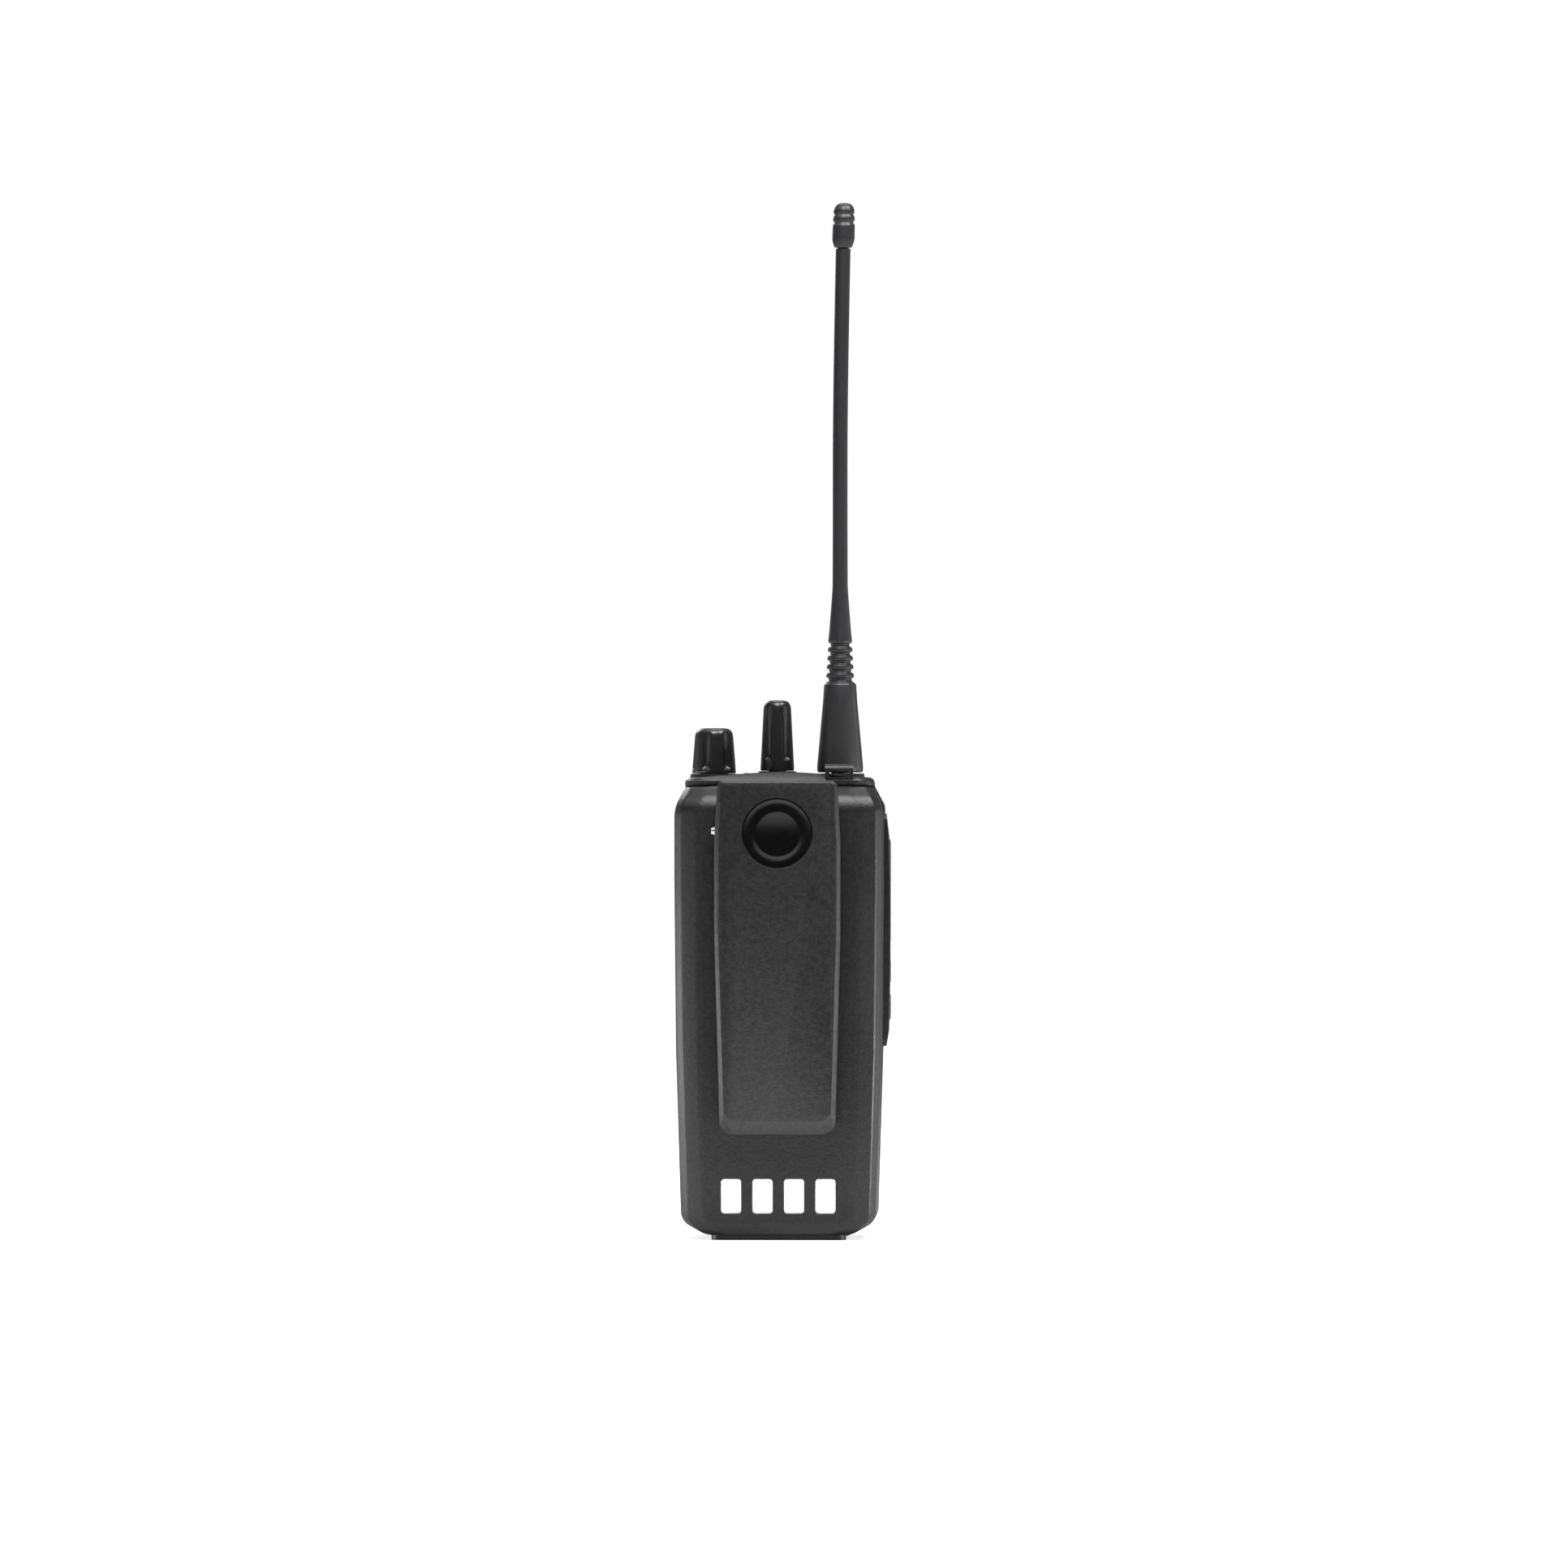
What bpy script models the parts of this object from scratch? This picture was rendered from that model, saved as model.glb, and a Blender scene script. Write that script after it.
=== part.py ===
"""A portable two-way radio with a whip antenna, a slide-on battery and a sprung belt clip.

Sizes are in millimetres, and the helpers turn them into metres. +Z is up and the front
faces -Y. The origin is on the base plane, in the middle of the casing's width, one
millimetre in front of the parting plane between the casing and the battery.
"""

import math

import bmesh
import bpy
from mathutils import Matrix, Vector

MM = 0.001
GAP = 0.3
ARC_STEP = math.radians(24)

# Casing: front, parting plane, back of the battery
FRONT = -18.0
PARTING = 1.0
CASING_BACK = PARTING - GAP / 2
BATTERY_FRONT = PARTING + GAP / 2
BACK = 18.0
HALF_WIDTH = 27.35
HEIGHT = 122.0
WALL = 2.0
BASE_WALL = 4.6
CAVITY_TOP = 117.6
DECK_UNDERSIDE = 118.5
DECK_BACK = 12.9

# Layers inside the casing, from the front wall to the chassis
CLOTH_Y = (-15.7, -15.3)
SPEAKER_Y = -9.8
BRACKET_Y = (-9.5, -8.7)
SHIELD_Y = (-6.9, -4.2)
BOARD_Y = (-3.9, -2.6)
CHASSIS_FRONT = -2.3
SPEAKER_Z = 84.0

# Controls on the top deck
CONTROL_Y = -7.8
VOLUME_X = 17.5
CHANNEL_X = 0.9
ANTENNA_X = -15.6
STATUS_AT = (9.2, -13.5)

# Whip antenna
WHIP_BASE_Z = 121.8
WHIP_RADIUS = 1.95
CAP_Z = 259.5
TIP_Z = 271.3
LEAN_START_Z = 205.0
LEAN = 1.05

# Buttons on the -X side: name, lowest and highest point
KEYS_Y = (-13.5, -4.5)
KEY_ROWS = {
    "ptt_button": (76.5, 104.5),
    "side_button_upper": (66.0, 73.5),
    "side_button_lower": (56.5, 64.0),
}
KEY_OUTER_X = -28.9
KEY_INNER_X = -25.0
BEZEL_Z = (50.0, 111.0)
BEZEL_Y = (-14.7, -3.3)

# Accessory socket and dust cover on the +X side
SOCKET_FACE_X = 26.1
COVER_OUTER_X = 27.6
COVER_THICKNESS = 1.1
COVER_Y = (-13.0, -3.0)
COVER_Z = (72.3, 101.7)
JACKS = ((92.2, 1.3), (84.0, 1.8))

# Battery hooks on the chassis, and the latch under the battery
SLIDE_TRAVEL = 12.0
HOOK_X = 16.0
HOOK_ROWS = (24.0, 84.0)
HOOK_LENGTH = 8.0
LATCH_HALF = 8.0
LATCH_Z = (1.6, 3.2)

# Battery
BATTERY_WALL = 1.8
BATTERY_BOTTOM = 1.2
BATTERY_TOP = 118.2
COVER_BACK_Y = 4.65
WINDOW_PITCH = 8.2
WINDOW_SIZE = (5.7, 9.4)
WINDOW_Z = 11.5
CONTACT_FACE = 16.8
TERMINAL_PITCH = 6.0
TERMINAL_Z = (42.2, 45.8)

# Belt clip
PIVOT_Y = 21.8
PIVOT_Z = 106.7
PIN_RADIUS = 1.0
LEVER_INNER = 24.5
LEVER_OUTER = 27.2
LEVER_BOTTOM = 27.8
LEVER_TOP = 119.8
BADGE_RADIUS = 9.25

# Looks: colour, roughness, metallic
BLACK_PLASTIC = ((0.032, 0.032, 0.034), 0.55, 0.0)
GLOSS_BLACK = ((0.012, 0.012, 0.013), 0.2, 0.0)
BLACK_RUBBER = ((0.02, 0.02, 0.021), 0.8, 0.0)
DIE_CAST = ((0.5, 0.5, 0.52), 0.45, 1.0)
STEEL = ((0.6, 0.6, 0.62), 0.3, 1.0)
BRASS = ((0.7, 0.52, 0.24), 0.35, 1.0)
NICKEL = ((0.82, 0.82, 0.8), 0.25, 1.0)
CIRCUIT = ((0.02, 0.14, 0.06), 0.5, 0.0)
CELL_WRAP = ((0.1, 0.16, 0.3), 0.4, 0.0)
CLEAR = ((0.75, 0.75, 0.72), 0.1, 0.0)

for leftover in list(bpy.data.objects):
    bpy.data.objects.remove(leftover)
PARTS = bpy.data.collections.new("portable_radio")
CUTTERS = bpy.data.collections.new("cutters")
bpy.context.scene.collection.children.link(PARTS)
bpy.context.scene.collection.children.link(CUTTERS)

# Each takes a drawing's (u, v, w), w being the way across it, to X, Y and Z.
ACROSS = {
    "X": Matrix(((0, 0, 1, 0), (1, 0, 0, 0), (0, 1, 0, 0), (0, 0, 0, 1))),
    "Y": Matrix(((1, 0, 0, 0), (0, 0, 1, 0), (0, 1, 0, 0), (0, 0, 0, 1))),
    "Z": Matrix.Identity(4),
}


def rounded(corners):
    """Points of a closed outline whose corners (u, v, radius) are arcs."""
    points = []
    for index, (u, v, radius) in enumerate(corners):
        corner = Vector((u, v))
        if not radius:
            points.append(corner)
            continue
        before = (Vector(corners[index - 1][:2]) - corner).normalized()
        after = (Vector(corners[(index + 1) % len(corners)][:2]) - corner).normalized()
        half = before.angle(after) / 2
        centre = corner + (before + after).normalized() * radius / math.sin(half)
        start = corner + before * radius / math.tan(half) - centre
        end = corner + after * radius / math.tan(half) - centre
        first = math.atan2(start.y, start.x)
        turn = math.remainder(math.atan2(end.y, end.x) - first, math.tau)
        steps = max(1, round(abs(turn) / ARC_STEP))
        for step in range(steps + 1):
            angle = first + turn * step / steps
            points.append(centre + Vector((math.cos(angle), math.sin(angle))) * radius)
    return points


def mirrored(side):
    """A closed outline from the corners of its +u half, listed from bottom to top."""
    return side + [(-u, v, radius) for u, v, radius in reversed(side) if u]


def inset(corners, by):
    """An anticlockwise outline drawn in by a distance, each corner along its mitre."""
    moved = []
    for index, (u, v, radius) in enumerate(corners):
        corner = Vector((u, v))
        along = (corner - Vector(corners[index - 1][:2])).normalized()
        onward = (Vector(corners[(index + 1) % len(corners)][:2]) - corner).normalized()
        first, second = Vector((-along.y, along.x)), Vector((-onward.y, onward.x))
        place = corner + (first + second) * by / (1 + first.dot(second))
        moved.append((place.x, place.y, max(0, radius - by)))
    return moved


def between(corners, low, high):
    """An outline cut flat at a lowest and a highest v."""
    return [(u, min(max(v, low), high), radius if low < v < high else 0) for u, v, radius in corners]


def rectangle(low, high, radius=0):
    """A rectangle from its lowest to its highest corner."""
    (u0, v0), (u1, v1) = low, high
    return [(u0, v0, radius), (u1, v0, radius), (u1, v1, radius), (u0, v1, radius)]


def cleaned(name, mesh):
    """A part from a mesh: seams welded, faces outward, smooth where it is round."""
    work = bmesh.new()
    work.from_mesh(mesh)
    bmesh.ops.remove_doubles(work, verts=work.verts, dist=1e-6)
    bmesh.ops.recalc_face_normals(work, faces=work.faces)
    work.to_mesh(mesh)
    work.free()
    mesh.shade_smooth()
    mesh.set_sharp_from_angle(angle=math.radians(35))
    piece = bpy.data.objects.new(name, mesh)
    PARTS.objects.link(piece)
    return piece


def prism(name, corners, low, high, axis="Y"):
    """A flat outline across an axis, filled, and extruded from low to high along it."""
    curve = bpy.data.curves.new(name, "CURVE")
    curve.dimensions = "2D"
    curve.fill_mode = "BOTH"
    curve.extrude = (high - low) / 2 * MM
    outline = rounded(corners)
    spline = curve.splines.new("POLY")
    spline.points.add(len(outline) - 1)
    spline.use_cyclic_u = True
    for point, (u, v) in zip(spline.points, outline):
        point.co = (u * MM, v * MM, 0, 1)
    drawn = bpy.data.objects.new(name, curve)
    CUTTERS.objects.link(drawn)
    graph = bpy.context.evaluated_depsgraph_get()
    mesh = bpy.data.meshes.new_from_object(drawn.evaluated_get(graph))
    bpy.data.objects.remove(drawn)
    bpy.data.curves.remove(curve)
    mesh.transform(ACROSS[axis] @ Matrix.Translation((0, 0, (low + high) / 2 * MM)))
    mesh.name = name
    return cleaned(name, mesh)


def box(name, low, high):
    """A block from its lowest to its highest corner."""
    low, high = Vector(low) * MM, Vector(high) * MM
    work = bmesh.new()
    scale = Matrix.Diagonal((*(high - low), 1))
    bmesh.ops.create_cube(work, size=1, matrix=Matrix.Translation((low + high) / 2) @ scale)
    mesh = bpy.data.meshes.new(name)
    work.to_mesh(mesh)
    work.free()
    return cleaned(name, mesh)


def rod(name, centre, low, high, radius, axis="Z", sides=20, far_radius=None):
    """A round bar, or a tapered one, along an axis; centre is its (u, v) place."""
    work = bmesh.new()
    place = Matrix.Translation((centre[0] * MM, centre[1] * MM, (low + high) / 2 * MM))
    bmesh.ops.create_cone(
        work,
        cap_ends=True,
        segments=sides,
        radius1=radius * MM,
        radius2=(radius if far_radius is None else far_radius) * MM,
        depth=(high - low) * MM,
        matrix=ACROSS[axis] @ place,
    )
    mesh = bpy.data.meshes.new(name)
    work.to_mesh(mesh)
    work.free()
    return cleaned(name, mesh)


def turned(name, profile, at, steps=24):
    """A profile of (radius, height), down its outer side, turned about an upright axis."""
    mesh = bpy.data.meshes.new(name)
    points = [(radius * MM, 0, height * MM) for radius, height in profile]
    mesh.from_pydata(points, [(i, i + 1) for i in range(len(points) - 1)], [])
    piece = bpy.data.objects.new(name, mesh)
    PARTS.objects.link(piece)
    piece.location = Vector((at[0], at[1], 0)) * MM
    screw = piece.modifiers.new("turn", "SCREW")
    screw.steps = screw.render_steps = steps
    screw.use_merge_vertices = True
    screw.merge_threshold = 1e-5
    screw.use_smooth_shade = True
    return piece


def combined(piece, other, operation):
    """A Boolean of a piece with another object, which becomes a hidden helper."""
    PARTS.objects.unlink(other)
    CUTTERS.objects.link(other)
    other.hide_render = True
    other.display_type = "WIRE"
    other.name = f"{piece.name}_{operation.lower()}"
    boolean = piece.modifiers.new(other.name, "BOOLEAN")
    boolean.operation = operation
    boolean.object = other
    return piece


def cut(piece, *cutters):
    for cutter in cutters:
        combined(piece, cutter, "DIFFERENCE")
    return piece


def join(piece, *others):
    for other in others:
        combined(piece, other, "UNION")
    return piece


def common(piece, *others):
    for other in others:
        combined(piece, other, "INTERSECT")
    return piece


def finish(piece, look):
    """Gives a piece its own plain material."""
    colour, roughness, metallic = look
    material = bpy.data.materials.new(piece.name)
    material.use_nodes = True
    shader = material.node_tree.nodes["Principled BSDF"]
    shader.inputs["Base Color"].default_value = (*colour, 1)
    shader.inputs["Roughness"].default_value = roughness
    shader.inputs["Metallic"].default_value = metallic
    piece.data.materials.clear()
    piece.data.materials.append(material)
    return piece


def assembly(name, pieces, pivot=(0, 0, 0)):
    """An empty on the joint's axis that carries the pieces moving together."""
    carrier = bpy.data.objects.new(name, None)
    carrier.empty_display_size = 5 * MM
    carrier.location = Vector(pivot) * MM
    PARTS.objects.link(carrier)
    for piece in pieces:
        piece.parent = carrier
        piece.matrix_parent_inverse = Matrix.Translation(-carrier.location)
    return carrier


def casing_outline():
    """Front view of the casing: flat base, sides that widen upward, crowned top."""
    side = [
        (17.0, 0, 6),
        (25.6, 4.9, 4),
        (26.9, 50.0, 0),
        (HALF_WIDTH, 92.0, 0),
        (HALF_WIDTH, 113.0, 3),
        (24.7, 118.0, 1.5),
        (24.2, 120.4, 1),
        (9.0, 121.5, 0),
        (0, HEIGHT, 0),
    ]
    return mirrored(side)


def cavity_outline(by):
    """Front view of the casing's hollow, drawn in from the casing's outside."""
    spare = by - WALL
    return between(inset(casing_outline(), by), BASE_WALL + spare, CAVITY_TOP - spare)


def housing_form():
    """The casing's outside: its front, plan and side views, each as a prism."""
    plan = [
        (HALF_WIDTH + 0.3, FRONT, 4),
        (HALF_WIDTH + 0.3, DECK_BACK, 6),
    ]
    step = 0.5
    profile = [
        (FRONT, 0, 2.5),
        (CASING_BACK, 0, 0),
        (CASING_BACK, DECK_UNDERSIDE, 0),
        (DECK_BACK, DECK_UNDERSIDE, 0),
        (DECK_BACK, DECK_UNDERSIDE + 1.3, 0),
        (DECK_BACK - step, DECK_UNDERSIDE + 1.3, 0),
        (DECK_BACK - step, HEIGHT + 0.1, 1.6),
        (FRONT, HEIGHT + 0.1, 3.5),
    ]
    return common(
        prism("front_housing", casing_outline(), FRONT, DECK_BACK + 1),
        prism("plan", mirrored(plan), -1, HEIGHT + 1, "Z"),
        prism("profile", profile, -HALF_WIDTH - 1, HALF_WIDTH + 1, "X"),
    )


def add_strap_loop(housing):
    """The wrist-strap loop on the back of the deck, behind the antenna."""
    left, right, back = -19.4, -12.1, 12.2
    rim = 1.1
    join(housing, box("loop", (left, 9.6, 119.9), (right, back, 124.1)))
    cut(housing, box("loop_hole", (left + rim, 8.6, 120.7), (right - rim, 13.5, 122.4)))


def add_screw_bosses(housing):
    for x in (-19.0, 19.0):
        boss = rod("boss", (x, 12.0), FRONT + WALL / 2, CHASSIS_FRONT - GAP, 2.8, "Y", 16)
        join(housing, boss)
        cut(housing, rod("bore", (x, 12.0), FRONT + WALL + 2, PARTING, 1.2, "Y", 16))


def front_housing():
    """The moulded casing, open at the back, where the chassis closes it."""
    housing = housing_form()
    cut(housing, prism("hollow", cavity_outline(WALL), FRONT + WALL, PARTING + 1))
    add_screw_bosses(housing)
    for row in range(8):
        z = SPEAKER_Z + (row - 3.5) * 4.0
        half = math.sqrt(16.5**2 - (z - SPEAKER_Z) ** 2)
        slot = rectangle((-half, z - 0.9), (half, z + 0.9), 0.85)
        cut(housing, prism("slot", slot, FRONT - 1, FRONT + WALL + 0.5))
    cut(housing, rod("sound_hole", (12.0, 50.0), FRONT - 1, FRONT + WALL + 0.5, 0.7, "Y", 12))
    for x, radius in ((VOLUME_X, 3.5), (CHANNEL_X, 2.6), (ANTENNA_X, 4.2)):
        cut(housing, rod("hole", (x, CONTROL_Y), CAVITY_TOP - 1, HEIGHT + 1, radius))
    cut(housing, rod("light_hole", STATUS_AT, CAVITY_TOP - 1, HEIGHT + 1, 1.3, sides=12))
    keys = rectangle(
        (BEZEL_Y[0] - GAP, BEZEL_Z[0] - GAP), (BEZEL_Y[1] + GAP, BEZEL_Z[1] + GAP), 2.3
    )
    cut(housing, prism("key_opening", keys, -HALF_WIDTH - 1, -22.0, "X"))
    recess = rectangle((COVER_Y[0] - GAP, COVER_Z[0] - GAP), (COVER_Y[1] + GAP, COVER_Z[1] + GAP), 2.3)
    cut(housing, prism("recess", recess, COVER_OUTER_X - COVER_THICKNESS - GAP, 29, "X"))
    socket = rectangle((-11.8, 79.0), (-4.2, 97.0), 1)
    cut(housing, prism("socket_opening", socket, 22.0, 29, "X"))
    z0, z1 = LATCH_Z
    half = LATCH_HALF + GAP
    cut(housing, box("latch_slot", (-half, -10.6, z0 - GAP), (half, PARTING + 1, z1 + GAP)))
    cut(housing, box("latch_window", (-4.5, -10.6, -1), (4.5, -6.0, z0)))
    add_strap_loop(housing)
    return finish(housing, BLACK_PLASTIC)


def chassis():
    """The die-cast plate behind the boards, with four hooks that hold the battery."""
    plate = prism("chassis", cavity_outline(WALL + 1.4), CHASSIS_FRONT, CASING_BACK)
    for x in (-HOOK_X, HOOK_X):
        for z in HOOK_ROWS:
            top = z + HOOK_LENGTH
            stem = box("stem", (x - 1.0, 0.5, z), (x + 1.0, 2.8, top))
            head = box("head", (x - 2.2, 2.6, z), (x + 2.2, 3.5, top))
            join(plate, join(stem, head))
        side = math.copysign(19.0, x)
        cut(plate, rod("screw_hole", (side, 12.0), -4, 2, 1.2, "Y", 16))
        cut(plate, rod("screw_seat", (side, 12.0), -0.6, 2, 2.4, "Y", 16))
    cut(plate, box("terminal_opening", (-9.3, -4, 39.7), (9.3, 2, 48.3)))
    return finish(plate, DIE_CAST)


def chassis_screws():
    screws = []
    for side, x in (("left", -19.0), ("right", 19.0)):
        screw = rod(f"chassis_screw_{side}", (x, 12.0), -0.3, 0.75, 2.1, "Y", 16)
        join(screw, rod("shank", (x, 12.0), -8.0, 0.0, 0.9, "Y", 16))
        cut(screw, rod("drive", (x, 12.0), 0.1, 1.5, 1.0, "Y", 6))
        screws.append(finish(screw, STEEL))
    return screws


def housing_seal():
    """The rubber ring squeezed between the chassis and the casing's wall."""
    ring = prism("housing_seal", cavity_outline(WALL + GAP), -1.8, -0.6)
    cut(ring, prism("inside", cavity_outline(WALL + 1.1), -3, 1))
    return finish(ring, BLACK_RUBBER)


def boards_and_shield():
    board = prism("main_board", rectangle((-21.0, 18.0), (21.0, 103.5), 2), *BOARD_Y)
    y0, y1 = SHIELD_Y
    shield = box("rf_shield", (-17.0, y0, 24.0), (17.0, y1, 100.0))
    cut(shield, box("inside", (-16.4, y0 + 0.6, 24.6), (16.4, y1 + 1, 99.4)))
    return [finish(board, CIRCUIT), finish(shield, STEEL)]


def face_front(piece, x, y, z):
    """Turns an upright turned piece so that its top faces the front."""
    piece.rotation_euler = (math.radians(90), 0, 0)
    piece.location = Vector((x, y, z)) * MM
    return piece


def speaker_group():
    cone = [(0, 1.5), (5, 1.0), (14, 4.6), (15.2, 5.2), (18, 5.2), (18, 3.6), (15, 3.2)]
    magnet = [(9.5, 0.0), (9.5, -2.4), (0, -2.4)]
    speaker = face_front(turned("speaker", cone + magnet, (0, 0)), 0, SPEAKER_Y, SPEAKER_Z)
    cloth = rod("speaker_cloth", (0, SPEAKER_Z), *CLOTH_Y, 17.5, "Y", 32)
    strip = rectangle((-20.4, SPEAKER_Z - 12), (20.4, SPEAKER_Z + 12), 2)
    bracket = prism("speaker_bracket", strip, *BRACKET_Y)
    cut(bracket, rod("magnet_hole", (0, SPEAKER_Z), BRACKET_Y[0] - 1, BRACKET_Y[1] + 1, 10.0, "Y", 24))
    return [finish(speaker, BLACK_PLASTIC), finish(cloth, BLACK_RUBBER), finish(bracket, STEEL)]


def microphone_group():
    centre = (12.0, 50.0)
    microphone = rod("microphone", centre, -14.6, -12.4, 3.0, "Y", 20)
    boot = rod("microphone_boot", centre, -15.6, -12.2, 4.6, "Y", 20)
    cut(boot, rod("seat", centre, -14.9, -11, 3.3, "Y", 20))
    cut(boot, rod("sound_hole", centre, -17, -14, 0.8, "Y", 12))
    return [finish(microphone, NICKEL), finish(boot, BLACK_RUBBER)]


def control(names, x, body, bushing, shaft, heights):
    """A panel-mounted control: its body and bushing, its nut, and its shaft."""
    body_name, nut_name, shaft_name = names
    base, shoulder, bushing_top, shaft_top = heights
    bore = shaft + GAP
    profile = [
        (0, shoulder - 1),
        (bore, shoulder - 1),
        (bore, bushing_top),
        (bushing, bushing_top),
        (bushing, shoulder),
        (body, shoulder),
        (body, base),
        (0, base),
    ]
    at = (x, CONTROL_Y)
    case = turned(body_name, profile, at)
    nut = rod(nut_name, at, bushing_top - 1.8, bushing_top - 0.2, bushing + 0.95, sides=6)
    cut(nut, rod("thread", at, bushing_top - 3, bushing_top + 1, bushing + GAP))
    stem = rod(shaft_name, at, shoulder - 0.7, shaft_top, shaft, sides=16)
    return finish(case, STEEL), finish(nut, BRASS), finish(stem, STEEL)


def knob(name, x, outer, hollow, bore):
    """A push-on knob: outer is its turned side, hollow and bore are (radius, depth)."""
    base = outer[-1][1]
    inner = [
        (hollow[0], base),
        (hollow[0], hollow[1]),
        (bore[0], hollow[1]),
        (bore[0], bore[1]),
        (0, bore[1]),
    ]
    return finish(turned(name, outer + inner, (x, CONTROL_Y), 32), GLOSS_BLACK)


def volume_control():
    names = ("volume_potentiometer", "volume_nut", "volume_shaft")
    case, nut, shaft = control(names, VOLUME_X, 5.2, 3.2, 1.5, (104.5, 117.3, 123.0, 130.0))
    outer = [(0, 133.4), (3.4, 133.4), (4.6, 132.8), (5.0, 131.8), (5.6, 124.0), (5.75, 121.7)]
    return case, nut, shaft, knob("volume_knob", VOLUME_X, outer, (4.6, 123.4), (1.8, 130.4))


def channel_control():
    names = ("channel_switch", "channel_nut", "channel_shaft")
    case, nut, shaft = control(names, CHANNEL_X, 4.8, 2.3, 1.1, (105.0, 117.3, 124.2, 136.4))
    outer = [(0, 140.7), (2.4, 140.7), (3.3, 140.1), (3.6, 139.1), (4.2, 127.0), (4.45, 122.4)]
    return case, nut, shaft, knob("channel_knob", CHANNEL_X, outer, (3.5, 124.5), (1.4, 136.8))


def lean(piece):
    """Bends the whip a little sideways, more the further up it is."""
    for vertex in piece.data.vertices:
        up = (vertex.co.z / MM - LEAN_START_Z) / (TIP_Z - LEAN_START_Z)
        if up > 0:
            vertex.co.x -= LEAN * up**1.5 * MM


def screwed_mesh(piece):
    """Replaces a turned piece's profile by its full mesh, so that it can be bent."""
    graph = bpy.context.evaluated_depsgraph_get()
    mesh = bpy.data.meshes.new_from_object(piece.evaluated_get(graph))
    piece.modifiers.clear()
    piece.data = mesh
    lean(piece)
    return piece


def whip_profile():
    """The moulded antenna: cone, five flex grooves, a taper and the thin whip."""
    profile = [(0, CAP_Z + 6.0), (1.5, CAP_Z + 6.0), (1.5, CAP_Z - 0.3), (WHIP_RADIUS, CAP_Z - 0.3)]
    profile += [(WHIP_RADIUS, z) for z in (248, 237, 226, 215, 204, 186)]
    profile += [(WHIP_RADIUS + 0.05, 171.0), (2.25, 167.0), (2.6, 162.0), (2.9, 158.4)]
    grooves = 5
    pitch = 2.27
    for groove in range(grooves):
        z = 155.2 - groove * pitch
        ridge = 3.15 + 0.14 * groove
        profile += [(ridge - 0.05, z + 0.75), (ridge - 0.65, z), (ridge, z - 0.75)]
    profile += [(4.2, 144.9), (4.5, 140.5), (6.05, 123.2), (5.8, WHIP_BASE_Z)]
    profile += [(2.7, WHIP_BASE_Z), (2.7, 129.8), (0, 129.8)]
    return profile


def antenna_group():
    """Socket in the casing, threaded stud, moulded whip and its end cap."""
    at = (ANTENNA_X, CONTROL_Y)
    socket_profile = [
        (0, 113.0),
        (2.7, 113.0),
        (2.7, 121.2),
        (3.9, 121.2),
        (3.9, 117.3),
        (5.2, 117.3),
        (5.2, 111.5),
        (0, 111.5),
    ]
    socket = turned("antenna_socket", socket_profile, at)
    stud = rod("antenna_stud", at, 113.4, 129.4, 2.4)
    whip = screwed_mesh(turned("antenna", whip_profile(), at))
    cap_profile = [(0, TIP_Z), (1.2, TIP_Z - 0.15), (2.3, TIP_Z - 0.9), (2.75, TIP_Z - 2.0)]
    cap_profile += [(2.6, 268.2), (2.9, 267.1), (2.6, 266.1), (2.95, 265.2), (2.95, 261.5)]
    cap_profile += [(2.3, CAP_Z), (1.8, CAP_Z), (1.8, CAP_Z + 6.3), (0, CAP_Z + 6.3)]
    cap = screwed_mesh(turned("antenna_cap", cap_profile, at))
    return [
        finish(socket, BRASS),
        finish(stud, NICKEL),
        finish(whip, BLACK_RUBBER),
        finish(cap, BLACK_RUBBER),
    ]


def status_lens():
    top = 121.7
    profile = [(0, top), (0.6, top - 0.1), (1.0, top - 0.5), (1.0, 118.0), (0, 118.0)]
    return finish(turned("status_lens", profile, STATUS_AT, 12), CLEAR)


def side_bezel():
    """The frame round the buttons, bulging out of the side and tapering at its ends."""
    outline = rectangle((BEZEL_Y[0], BEZEL_Z[0]), (BEZEL_Y[1], BEZEL_Z[1]), 2)
    bezel = prism("side_bezel", outline, -29.0, -26.0, "X")
    bulge = [
        (-27.1, BEZEL_Z[0] - 1, 0),
        (-25.0, BEZEL_Z[0] - 1, 0),
        (-25.0, BEZEL_Z[1] + 1, 0),
        (-27.3, BEZEL_Z[1] + 1, 0),
        (-28.35, 105.0, 6),
        (-28.35, 57.0, 6),
    ]
    common(bezel, prism("bulge", bulge, BEZEL_Y[0] - 1, BEZEL_Y[1] + 1))
    for low, high in KEY_ROWS.values():
        window = rectangle((KEYS_Y[0] - GAP, low - GAP), (KEYS_Y[1] + GAP, high + GAP), 1.8)
        cut(bezel, prism("window", window, -30, -25, "X"))
    return finish(bezel, BLACK_PLASTIC)


def side_buttons():
    """Three buttons, each with a flange behind the bezel that keeps it in."""
    flange = 0.8
    buttons = []
    for name, (low, high) in KEY_ROWS.items():
        face = rectangle((KEYS_Y[0], low), (KEYS_Y[1], high), 1.5)
        button = prism(name, face, KEY_OUTER_X, KEY_INNER_X, "X")
        skirt = rectangle((KEYS_Y[0] - flange, low - flange), (KEYS_Y[1] + flange, high + flange), 2)
        join(button, prism("skirt", skirt, KEY_INNER_X - 0.7, KEY_INNER_X, "X"))
        buttons.append(finish(button, BLACK_RUBBER))
    return buttons


def key_board():
    """The narrow board behind the buttons, with a switch behind each of them."""
    board = box("side_key_board", (-22.2, -13.0, 54.0), (-21.0, -5.0, 106.0))
    pieces = [finish(board, CIRCUIT)]
    for name, (low, high) in KEY_ROWS.items():
        centre = (sum(KEYS_Y) / 2, (low + high) / 2)
        switch = rod(f"{name}_switch", centre, -23.8, -22.5, 1.6, "X", 16, 2.2)
        pieces.append(finish(switch, STEEL))
    return pieces


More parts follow.
